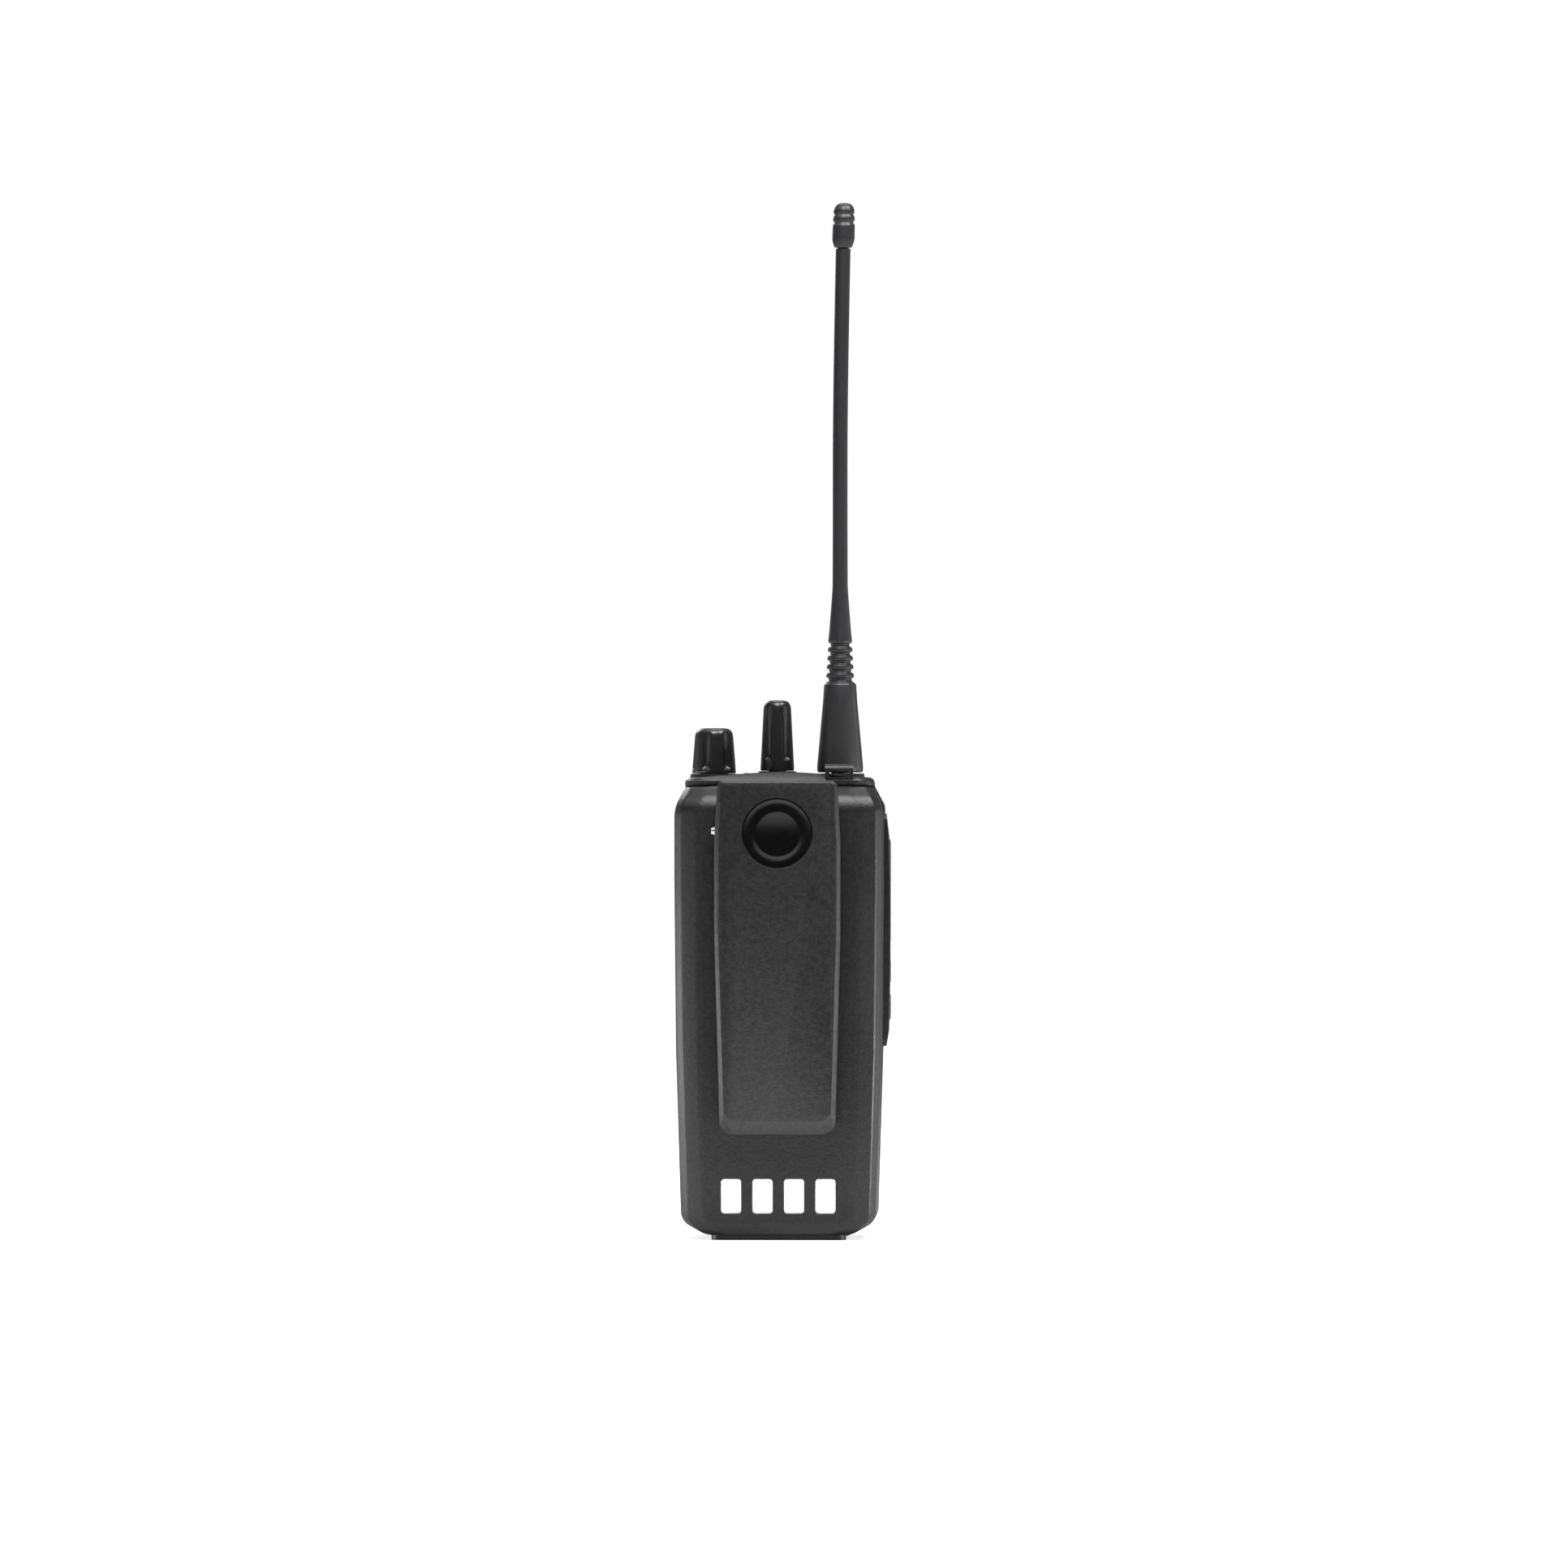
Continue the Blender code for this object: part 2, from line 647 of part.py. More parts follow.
def accessory_group():
    """The socket block behind the side wall, and the rubber cover that closes it."""
    y = sum(COVER_Y) / 2
    block = prism("accessory_socket", rectangle((-11.5, 79.3), (-4.5, 96.7), 0.8), 20.5, SOCKET_FACE_X, "X")
    outline = rectangle((COVER_Y[0], COVER_Z[0]), (COVER_Y[1], COVER_Z[1]), 2)
    inner_x = COVER_OUTER_X - COVER_THICKNESS
    cover = prism("dust_cover", outline, inner_x, COVER_OUTER_X, "X")
    for z, radius in JACKS:
        cut(block, rod("jack", (y, z), 21.5, 27, radius, "X", 16))
        join(cover, rod("peg", (y, z), 25.0, inner_x + 0.5, radius - 0.4, "X", 12))
    return finish(block, BLACK_PLASTIC), finish(cover, BLACK_RUBBER)


def terminals():
    """The block in the chassis that carries the radio's three battery terminals."""
    block = box("terminal_block", (-9.0, -2.0, 40.0), (9.0, CASING_BACK, 48.0))
    low, high = TERMINAL_Z
    blades = []
    for number in range(3):
        x = (number - 1) * TERMINAL_PITCH
        cut(block, box("slot", (x - 1.1, -3, low - GAP), (x + 1.1, 2, high + GAP)))
        blade = box(f"radio_terminal_{number + 1}", (x - 0.8, -2.2, low), (x + 0.8, 0.95, high))
        blades.append(finish(blade, BRASS))
    return [finish(block, BLACK_PLASTIC), *blades]


def battery_latch():
    """The slider in the casing's base whose tongue comes out under the battery."""
    z0, z1 = LATCH_Z
    latch = box("battery_latch", (-LATCH_HALF, -10.0, z0), (LATCH_HALF, 0.55, z1))
    join(latch, box("thumb_tab", (-4.2, -10.0, 0.4), (4.2, -8.0, z0 + 0.5)))
    return finish(latch, BLACK_PLASTIC)


def battery_outline():
    """Front view of the battery: narrow base, large rounded top corners."""
    side = [
        (19.0, BATTERY_BOTTOM, 5),
        (25.5, 4.95, 4),
        (26.8, 50.0, 0),
        (27.2, 92.0, 0),
        (27.2, BATTERY_TOP, 7),
    ]
    return mirrored(side)


def battery_form(name, by, front):
    """The battery's outside, or its hollow drawn in by a wall, from three views."""
    plan = [(27.6, front - 2, 0), (27.3, 13.8, 2), (25.6, 16.5, 1.2), (21.0, BACK, 6)]
    profile = [
        (front - by, BATTERY_BOTTOM, 0),
        (16.4, BATTERY_BOTTOM, 1.5),
        (BACK, 3.6, 3),
        (BACK, 114.6, 5),
        (13.8, BATTERY_TOP, 2.5),
        (front - by, BATTERY_TOP, 0),
    ]
    return common(
        prism(name, inset(battery_outline(), by), front, BACK + 1),
        prism("plan", inset(mirrored(plan), by), -1, HEIGHT, "Z"),
        prism("profile", inset(profile, by), -HALF_WIDTH - 1, HALF_WIDTH + 1, "X"),
    )


def window_places():
    """X of each charging contact."""
    return [(number - 1.5) * WINDOW_PITCH for number in range(4)]


def battery_shell():
    """The deep moulding at the back, with four windows and a foot."""
    shell = battery_form("battery_shell", 0, BATTERY_FRONT)
    cut(shell, battery_form("hollow", BATTERY_WALL, -1.0))
    join(shell, prism("foot", rectangle((-17.5, 4.0), (17.5, 15.4), 2), 0, BATTERY_BOTTOM + 1, "Z"))
    width, height = WINDOW_SIZE
    for x in window_places():
        low, high = (x - width / 2, WINDOW_Z - height / 2), (x + width / 2, WINDOW_Z + height / 2)
        cut(shell, prism("window", rectangle(low, high, 1), BACK - BATTERY_WALL - 1, BACK + 1))
    cut(shell, latch_notch())
    return finish(shell, BLACK_PLASTIC)


def latch_notch():
    half = LATCH_HALF + 0.4
    return box("latch_notch", (-half, 0, BATTERY_BOTTOM - 1), (half, 2.5, LATCH_Z[1] + GAP))


def battery_cover():
    """The battery's front plate, with a keyhole slot for each hook of the chassis."""
    outline = inset(battery_outline(), BATTERY_WALL + GAP)
    cover = prism("battery_cover", outline, BATTERY_FRONT, COVER_BACK_Y)
    for x in (-HOOK_X, HOOK_X):
        for z in HOOK_ROWS:
            low, middle = z - 0.4, z + HOOK_LENGTH + 0.4
            high = z + HOOK_LENGTH + SLIDE_TRAVEL + 0.8
            cut(cover, box("neck", (x - 1.3, 0, low), (x + 1.3, 3, middle + 1)))
            cut(cover, box("entry", (x - 2.5, 0, middle), (x + 2.5, 3, high)))
            cut(cover, box("undercut", (x - 2.5, 2.3, low), (x + 2.5, 3.8, high)))
    low, high = TERMINAL_Z
    for number in range(3):
        x = (number - 1) * TERMINAL_PITCH
        cut(cover, box("pocket", (x - 1.7, 0, low - 0.9), (x + 1.7, 2.1, high + 0.9)))
    cut(cover, latch_notch())
    return finish(cover, BLACK_PLASTIC)


def battery_inside():
    """Two cells, the protection board, and the contacts at the back and the front."""
    pieces = []
    for side, x in (("left", -11.6), ("right", 11.6)):
        outline = rectangle((x - 11.2, 5.0), (x + 11.2, 15.0), 3)
        pieces.append(finish(prism(f"battery_cell_{side}", outline, 24.0, 108.0, "Z"), CELL_WRAP))
    pieces.append(finish(box("battery_board", (-21.0, 11.8, 5.5), (21.0, 12.9, 19.5)), CIRCUIT))
    for number, x in enumerate(window_places(), 1):
        plate = rectangle((x - 3.4, WINDOW_Z - 5.2), (x + 3.4, WINDOW_Z + 5.2), 0.8)
        contact = prism(f"charge_contact_{number}", plate, 15.1, BACK - BATTERY_WALL - GAP)
        raised = rectangle((x - 2.5, WINDOW_Z - 4.35), (x + 2.5, WINDOW_Z + 4.35), 0.7)
        join(contact, prism("raised", raised, 15.5, CONTACT_FACE))
        join(contact, box("leg", (x - 1, 13.2, WINDOW_Z - 2), (x + 1, 15.5, WINDOW_Z + 2)))
        pieces.append(finish(contact, NICKEL))
    low, high = TERMINAL_Z
    for number in range(3):
        x = (number - 1) * TERMINAL_PITCH
        pad = box(
            f"battery_terminal_{number + 1}",
            (x - 1.4, BATTERY_FRONT, low - 0.6),
            (x + 1.4, BATTERY_FRONT + 0.65, high + 0.6),
        )
        pieces.append(finish(pad, BRASS))
    return pieces


def clip_bracket():
    """The plate on the battery's back with two ears that carry the clip's pin."""
    outline = rectangle((-12.9, 98.7), (12.9, 114.0), 1.5)
    bracket = prism("clip_bracket", outline, BACK + GAP, 19.2)
    ear = [
        (18.6, PIVOT_Z - 3.6, 0),
        (22.2, PIVOT_Z - 2.2, 1),
        (23.8, PIVOT_Z - 1.2, 1),
        (23.8, PIVOT_Z + 1.2, 1),
        (22.2, PIVOT_Z + 2.2, 1),
        (18.6, PIVOT_Z + 3.6, 0),
    ]
    for low, high in ((-12.9, -11.0), (11.0, 12.9)):
        join(bracket, prism("ear", ear, low, high, "X"))
    cut(bracket, rod("pin_hole", (PIVOT_Y, PIVOT_Z), -14, 14, PIN_RADIUS + GAP, "X"))
    return finish(bracket, BLACK_PLASTIC)


def clip_pin():
    pin = rod("clip_pin", (PIVOT_Y, PIVOT_Z), -15.6, 16.8, PIN_RADIUS, "X")
    head = rod("head", (PIVOT_Y, PIVOT_Z), 16.3, 17.6, 1.35, "X", 20, 1.1)
    return finish(join(pin, head), STEEL)


def clip_spring():
    """A torsion spring round the pin, its two legs lying along the bracket."""
    turns, steps, radius, leg = 6, 12, 1.75, 5.0
    inner_y = PIVOT_Y - radius
    points = [(-4.0, inner_y, PIVOT_Z - leg)]
    for step in range(turns * steps + 1):
        angle = math.tau * step / steps
        x = -4.0 + 8.0 * step / (turns * steps)
        points.append((x, PIVOT_Y - radius * math.cos(angle), PIVOT_Z + radius * math.sin(angle)))
    points.append((4.0, inner_y, PIVOT_Z + leg))
    curve = bpy.data.curves.new("clip_spring", "CURVE")
    curve.dimensions = "3D"
    curve.bevel_depth = 0.33 * MM
    curve.bevel_resolution = 1
    curve.use_fill_caps = True
    spline = curve.splines.new("POLY")
    spline.points.add(len(points) - 1)
    for point, place in zip(spline.points, points):
        point.co = (*(Vector(place) * MM), 1)
    spring = bpy.data.objects.new("clip_spring", curve)
    PARTS.objects.link(spring)
    return finish(spring, STEEL)


def clip_outline():
    """Front view of the lever: widest above its middle, rounded at the bottom."""
    side = [(15.0, LEVER_BOTTOM, 3.6), (16.4, 80.0, 0), (16.4, 104.0, 0), (15.6, LEVER_TOP, 1.5)]
    return mirrored(side)


def clip_lever():
    """The moulded lever: a flat blade, two pivot ears and a toe that grips the belt."""
    lever = prism("clip_lever", clip_outline(), LEVER_INNER, LEVER_OUTER)
    work = bmesh.new()
    work.from_mesh(lever.data)
    rim = [edge for edge in work.edges if edge.calc_face_angle() > 1]
    outer = [edge for edge in rim if all(v.co.y > (LEVER_OUTER - 0.1) * MM for v in edge.verts)]
    bmesh.ops.bevel(work, geom=outer, offset=1.0 * MM, segments=1, affect="EDGES", profile=0.5, material=-1)
    work.to_mesh(lever.data)
    work.free()
    slope = [(24.9, LEVER_BOTTOM - 0.5, 0), (29.0, LEVER_BOTTOM - 0.5, 0), (29.0, 33.9, 0)]
    cut(lever, prism("slope", slope, -20, 20, "X"))
    ear = [
        (LEVER_INNER + 0.3, PIVOT_Z - 3.7, 0),
        (LEVER_INNER + 0.3, PIVOT_Z + 3.7, 0),
        (20.4, PIVOT_Z + 2.2, 1.2),
        (19.4, PIVOT_Z + 0.8, 0.8),
        (19.4, PIVOT_Z - 0.8, 0.8),
        (20.4, PIVOT_Z - 2.2, 1.2),
    ]
    for low, high in ((-15.1, -13.3), (13.3, 15.1)):
        join(lever, prism("ear", ear, low, high, "X"))
    toe = rectangle((18.6, 28.6), (LEVER_INNER + 0.3, 31.6), 1.2)
    join(lever, prism("toe", toe, -11, 11, "X"))
    cut(lever, rod("pin_hole", (PIVOT_Y, PIVOT_Z), -15.8, 15.8, PIN_RADIUS + GAP, "X"))
    cut(lever, rod("badge_seat", (0, PIVOT_Z - 0.6), 26.5, 28, BADGE_RADIUS + GAP, "Y", 40))
    return finish(lever, BLACK_PLASTIC)


def clip_badge():
    centre = (0, PIVOT_Z - 0.6)
    return finish(rod("clip_badge", centre, 26.8, 27.3, BADGE_RADIUS, "Y", 40), GLOSS_BLACK)


def build():
    potentiometer, volume_nut, volume_shaft, volume_knob = volume_control()
    switch, channel_nut, channel_shaft, channel_knob = channel_control()
    socket, dust_cover = accessory_group()
    ptt, upper, lower = side_buttons()
    radio = [front_housing(), chassis(), housing_seal(), status_lens(), side_bezel(), socket]
    radio += [potentiometer, volume_nut, switch, channel_nut]
    radio += chassis_screws() + boards_and_shield() + speaker_group() + microphone_group()
    radio += antenna_group() + key_board() + terminals()
    battery = [battery_shell(), battery_cover(), clip_bracket(), clip_pin(), clip_spring()]
    battery += battery_inside()
    clip = [clip_lever(), clip_badge()]
    assembly("radio", radio)
    assembly("volume_control", [volume_knob, volume_shaft], (VOLUME_X, CONTROL_Y, HEIGHT))
    assembly("channel_control", [channel_knob, channel_shaft], (CHANNEL_X, CONTROL_Y, HEIGHT))
    for name, button in (("ptt", ptt), ("upper_key", upper), ("lower_key", lower)):
        assembly(name, [button], (KEY_INNER_X, sum(KEYS_Y) / 2, sum(KEY_ROWS[button.name]) / 2))
    assembly("cover_flap", [dust_cover], (COVER_OUTER_X, sum(COVER_Y) / 2, COVER_Z[0]))
    assembly("latch", [battery_latch()], (0, 0, LATCH_Z[0]))
    pack = assembly("battery_pack", battery, (0, BATTERY_FRONT, 0))
    lever = assembly("belt_clip", clip, (0, PIVOT_Y, PIVOT_Z))
    lever.parent = pack
    lever.matrix_parent_inverse = Matrix.Translation(-pack.location)


build()
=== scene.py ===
import math

import bmesh
import bpy
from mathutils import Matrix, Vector


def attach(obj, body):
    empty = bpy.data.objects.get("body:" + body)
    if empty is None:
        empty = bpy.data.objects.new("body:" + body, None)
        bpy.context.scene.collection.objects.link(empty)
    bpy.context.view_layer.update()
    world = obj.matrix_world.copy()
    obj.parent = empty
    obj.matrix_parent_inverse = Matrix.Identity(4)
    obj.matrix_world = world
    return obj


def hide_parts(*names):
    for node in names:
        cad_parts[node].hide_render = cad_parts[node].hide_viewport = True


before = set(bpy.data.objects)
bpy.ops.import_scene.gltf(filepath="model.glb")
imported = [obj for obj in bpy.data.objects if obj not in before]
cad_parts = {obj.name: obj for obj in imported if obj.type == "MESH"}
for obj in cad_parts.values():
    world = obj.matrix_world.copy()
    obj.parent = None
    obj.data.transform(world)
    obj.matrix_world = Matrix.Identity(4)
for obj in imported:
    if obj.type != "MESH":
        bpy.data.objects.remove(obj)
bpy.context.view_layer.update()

# ---------------------------------------------------------------------------
# Studio
# A pale floor, and softboxes as a product on a table is lit: most light from above,
# strips low on both sides for the edges, and a lit panel in the table at the radio's
# back. The camera looks at that back, a little from the push-to-talk side.
# ---------------------------------------------------------------------------
scene = bpy.context.scene
scene.view_settings.view_transform = "Standard"


def colour(text):
    """The linear colour of an sRGB hex value."""
    channels = [int(text[place:place + 2], 16) / 255 for place in (1, 3, 5)]
    linear = [c / 12.92 if c <= 0.04045 else ((c + 0.055) / 1.055) ** 2.4 for c in channels]
    return (*linear, 1.0)


def add_node(tree, kind, inputs=None, **settings):
    """Adds a node: its settings, then each input's own value or the socket linked to it."""
    node = tree.nodes.new(kind)
    for name, value in settings.items():
        setattr(node, name, value)
    for name, value in (inputs or {}).items():
        if isinstance(value, bpy.types.NodeSocket):
            tree.links.new(value, node.inputs[name])
        else:
            node.inputs[name].default_value = value
    return node


def blank_material(name):
    """A new material, its tree, its Object coordinates and its surface socket."""
    material = bpy.data.materials.new(name)
    material.use_nodes = True
    tree = material.node_tree
    tree.nodes.clear()
    surface = add_node(tree, "ShaderNodeOutputMaterial").inputs["Surface"]
    return material, tree, add_node(tree, "ShaderNodeTexCoord").outputs["Object"], surface


def cells(size):
    """The Scale of a noise or weave whose cells are a size in millimetres."""
    return 1000 / size


world = bpy.data.worlds.new("studio_room")
scene.world = world
world.use_nodes = True
room = world.node_tree
room.nodes.clear()
towards = add_node(room, "ShaderNodeTexCoord").outputs["Generated"]
side = add_node(room, "ShaderNodeSeparateXYZ", {0: towards})
far_wall = add_node(
    room, "ShaderNodeMapRange",
    {"Value": side.outputs["Y"], "From Min": -0.3, "From Max": 0.3, "To Min": 0.25, "To Max": 0.02},
    interpolation_type="SMOOTHSTEP",
)
lit_room = add_node(
    room, "ShaderNodeBackground", {"Color": colour("#FFFFFF"), "Strength": far_wall.outputs[0]},
)
backdrop = add_node(room, "ShaderNodeBackground", {"Color": colour("#FFFFFF"), "Strength": 1.0})
seen = add_node(room, "ShaderNodeLightPath").outputs["Is Camera Ray"]
mixed = add_node(
    room, "ShaderNodeMixShader", {0: seen, 1: lit_room.outputs[0], 2: backdrop.outputs[0]},
)
add_node(room, "ShaderNodeOutputWorld", {"Surface": mixed.outputs[0]})


def softbox(name, place, target, size, watts, beam=180.0):
    """A rectangular lamp that faces a target and isn't seen itself; metres and degrees."""
    data = bpy.data.lights.new(name, "AREA")
    data.shape = "RECTANGLE"
    data.size, data.size_y = size
    data.energy = watts
    data.spread = math.radians(beam)
    lamp = bpy.data.objects.new(name, data)
    scene.collection.objects.link(lamp)
    lamp.location = place
    lamp.rotation_euler = (Vector(target) - Vector(place)).to_track_quat("-Z", "Y").to_euler()
    lamp.visible_camera = False


shoulders = (0.0, 0.0, 0.115)
softbox("high_softbox", (0.0, 0.42, 0.75), shoulders, (0.3, 0.3), 6.2)
softbox("right_overhead_softbox", (-0.3, 0.15, 0.6), shoulders, (0.2, 0.2), 3.0)
softbox("left_overhead_softbox", (0.3, 0.15, 0.6), shoulders, (0.2, 0.2), 0.5)
softbox("far_overhead_softbox", (0.0, -0.3, 0.7), shoulders, (0.3, 0.2), 1.2)
softbox("low_left_softbox", (0.42, 0.26, 0.05), (0.02, 0.0, 0.03), (0.2, 0.08), 0.03, 40.0)
softbox("low_left_strip", (0.4, 0.12, 0.03), (0.0, 0.0, 0.02), (0.1, 0.05), 0.019, 34.0)
softbox("low_right_strip", (-0.4, 0.12, 0.03), (0.0, 0.0, 0.02), (0.1, 0.05), 0.12, 60.0)
softbox("right_edge_strip", (-0.5, -0.18, 0.1), (0.0, 0.0, 0.08), (0.1, 0.25), 0.28)
softbox("left_edge_strip", (0.45, -0.12, 0.05), (0.027, 0.0, 0.05), (0.1, 0.08), 0.02, 36.0)
softbox("table_panel", (0.0, 0.07, 0.002), (0.0, 0.07, 1.0), (0.12, 0.05), 0.034)
softbox("front_softbox", (0.35, -0.7, 0.45), (0.0, 0.0, 0.06), (0.35, 0.35), 2.0)

floor_mesh = bmesh.new()
bmesh.ops.create_grid(floor_mesh, x_segments=1, y_segments=1, size=3.6)
bmesh.ops.translate(floor_mesh, vec=(0, -2.4, 0), verts=floor_mesh.verts)
floor_data = bpy.data.meshes.new("floor")
floor_mesh.to_mesh(floor_data)
floor_mesh.free()
floor = bpy.data.objects.new("floor", floor_data)
scene.collection.objects.link(floor)
floor_paint, tree, where, surface = blank_material("matt white floor paint")
# Rolled paint: white, with a faint stipple that only shows from close up.
stipple = add_node(tree, "ShaderNodeTexNoise", {"Scale": 400.0, "Detail": 3.0})
painted = add_node(
    tree, "ShaderNodeBump", {"Height": stipple.outputs[0], "Strength": 0.05, "Distance": 0.0002},
)
shader = add_node(
    tree, "ShaderNodeBsdfPrincipled",
    {"Base Color": colour("#F4F4F3"), "Roughness": 0.85, "Normal": painted.outputs[0]},
)
# Painted glow: for camera rays only, the floor also glows white, dimmer near the radio and full
# from half a metre out, so it reads white without lighting the radio.
spread = add_node(tree, "ShaderNodeVectorMath", {0: where}, operation="LENGTH")
further = add_node(
    tree, "ShaderNodeMapRange",
    {"Value": spread.outputs["Value"], "From Min": 0.08, "From Max": 0.5,
     "To Min": 0.7, "To Max": 1.0},
)
glow = add_node(
    tree, "ShaderNodeEmission", {"Color": colour("#FFFFFF"), "Strength": further.outputs[0]},
)
camera_only_floor_glow = add_node(tree, "ShaderNodeAddShader", {0: shader.outputs[0], 1: glow.outputs[0]})
seen = add_node(tree, "ShaderNodeLightPath").outputs["Is Camera Ray"]
table = add_node(
    tree, "ShaderNodeMixShader", {0: seen, 1: shader.outputs[0], 2: camera_only_floor_glow.outputs[0]},
)
tree.links.new(table.outputs[0], surface)
floor_data.materials.append(floor_paint)

# 410 mm of height at the object, seen from 3 m away.
camera_data = bpy.data.cameras.new("camera")
camera_data.lens = 263.0
camera_data.sensor_width = 36.0
camera_data.clip_end = 20.0
camera = bpy.data.objects.new("camera", camera_data)
scene.collection.objects.link(camera)
azimuth, elevation, distance = math.radians(181.5), math.radians(0.4), 3.0
aim = Vector((-0.00106, 0.0, 0.1188))
camera.location = aim + distance * Vector((
    math.sin(azimuth) * math.cos(elevation),
    -math.cos(azimuth) * math.cos(elevation),
    math.sin(elevation),
))
camera.rotation_euler = (aim - camera.location).to_track_quat("-Z", "Y").to_euler()
scene.camera = camera

# ---------------------------------------------------------------------------
# Front housing
# One deep moulding in black PC/ABS, spark-eroded all over, open at the back where the
# die-cast chassis closes it. Its top deck runs back over the battery and carries the
# knobs, the antenna and the strap loop. Drawn in millimetres, finished in metres.
# ---------------------------------------------------------------------------
def draw_outline(mesh, corners, place, steps=6):
    """A flat face through a few corners (u, v, radius), each rounded to its radius."""
    verts = [mesh.verts.new(place(u, v)) for u, v, _ in corners]
    face = mesh.faces.new(verts)
    for number, (vert, (u, v, radius)) in enumerate(zip(verts, corners)):
        if radius:
            here = Vector((u, v))
            before = Vector(corners[number - 1][:2]) - here
            after = Vector(corners[(number + 1) % len(corners)][:2]) - here
            rounded = bmesh.ops.bevel(
                mesh, geom=[vert], offset=radius / math.tan(before.angle(after) / 2),
                segments=steps, profile=0.5, affect="VERTICES", material=-1,
            )
            face = rounded["verts"][0].link_faces[0]
    return face


def loft(layers, steps=6):
    """A closed form through outlines of one corner count: each layer is (corners, place)."""
    mesh = bmesh.new()
    below = None
    for number, (corners, place) in enumerate(layers):
        face = draw_outline(mesh, corners, place, steps)
        rim = list(face.edges)
        if 0 < number < len(layers) - 1:
            bmesh.ops.delete(mesh, geom=[face], context="FACES_ONLY")
        if below:
            bmesh.ops.bridge_loops(mesh, edges=below + rim)
        below = rim
    bmesh.ops.recalc_face_normals(mesh, faces=mesh.faces)
    return mesh


def at_x(x):
    return lambda u, v: (x, u, v)


def at_y(y):
    return lambda u, v: (u, y, v)


def at_z(z):
    return lambda u, v: (u, v, z)


def slab(corners, place_at, low, high, steps=6):
    """An outline across X, Y or Z with straight walls from low to high."""
    return loft([(corners, place_at(low)), (corners, place_at(high))], steps)


def both_sides(half):
    """A closed outline from the corners of its +u half, listed from bottom to top."""
    return half + [(-u, v, radius) for u, v, radius in reversed(half) if u]


def rectangle(low, high, radius=0.0):
    (u0, v0), (u1, v1) = low, high
    return [(u0, v0, radius), (u1, v0, radius), (u1, v1, radius), (u0, v1, radius)]


def silhouette(corners, steps=6):
    """(height, reach) of an outline's points on its +u side, from bottom to top."""
    mesh = bmesh.new()
    draw_outline(mesh, corners, at_y(0.0), steps)
    points = sorted((vert.co.z, vert.co.x) for vert in mesh.verts if vert.co.x > 0)
    mesh.free()
    return points


def reach_at(points, height):
    """The reach of a silhouette at a height, between its points."""
    for (low, near), (high, far) in zip(points, points[1:]):
        if low <= height <= high and high > low:
            return near + (far - near) * (height - low) / (high - low)
    return points[0][1] if height < points[0][0] else points[-1][1]


def heights_of(*silhouettes):
    """All heights of some silhouettes, with those closer than 0.1 mm taken once."""
    kept = []
    for height in sorted({round(z, 4) for points in silhouettes for z, _ in points}):
        if not kept or height - kept[-1] > 0.1:
            kept.append(height)
    return kept


def raw_piece(name, mesh):
    """An object from a bmesh, still in millimetres."""
    data = bpy.data.meshes.new(name)
    mesh.to_mesh(data)
    mesh.free()
    piece = bpy.data.objects.new(name, data)
    scene.collection.objects.link(piece)
    return piece


def trim(piece, tool_mesh, operation="DIFFERENCE"):
    """Cuts a tool from a piece, or joins it on, and leaves no tool behind."""
    tool = raw_piece("tool", tool_mesh)
    boolean = piece.modifiers.new("trim", "BOOLEAN")
    boolean.operation = operation
    boolean.object = tool
    boolean.solver = "EXACT"
    result = bpy.data.meshes.new_from_object(
        piece.evaluated_get(bpy.context.evaluated_depsgraph_get())
    )
    piece.modifiers.clear()
    before, piece.data = piece.data, result
    bpy.data.meshes.remove(before)
    bpy.data.objects.remove(tool)
    return piece


def rod(place_at, centre, low, high, radius, segments=48, far_radius=None):
    """A round bar across X, Y or Z, from low to high along it."""
    u, v = centre
    mesh = bmesh.new()
    bmesh.ops.create_cone(
        mesh, cap_ends=True, segments=segments, radius1=radius,
        radius2=radius if far_radius is None else far_radius, depth=high - low,
    )
    for vert in mesh.verts:
        x, y, z = vert.co
        vert.co = place_at(z + (low + high) / 2)(u + x, v + y)
    bmesh.ops.recalc_face_normals(mesh, faces=mesh.faces)
    return mesh


def finish_piece(piece, material, body, replaced, edge=0.25, angle=32.0):
    """To metres, its material, softened edges, and the body and nodes it belongs to."""
    work = bmesh.new()
    work.from_mesh(piece.data)
    bmesh.ops.remove_doubles(work, verts=work.verts, dist=0.003)
    bmesh.ops.dissolve_degenerate(work, edges=work.edges, dist=0.003)
    bmesh.ops.scale(work, vec=(0.001, 0.001, 0.001), verts=work.verts)
    work.to_mesh(piece.data)
    work.free()
    piece.data.name = piece.name
    piece.data.materials.clear()
    piece.data.materials.append(material)
    piece.data.shade_smooth()
    piece.data.set_sharp_from_angle(angle=math.radians(angle))
    if edge:
        bevel = piece.modifiers.new("softened_edges", "BEVEL")
        bevel.width = edge / 1000
        bevel.segments = 2
        bevel.limit_method = "ANGLE"
        bevel.angle_limit = math.radians(angle)
        bevel.use_clamp_overlap = True
        bevel.harden_normals = True
    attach(piece, body)
    if replaced:
        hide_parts(*replaced)
    return piece


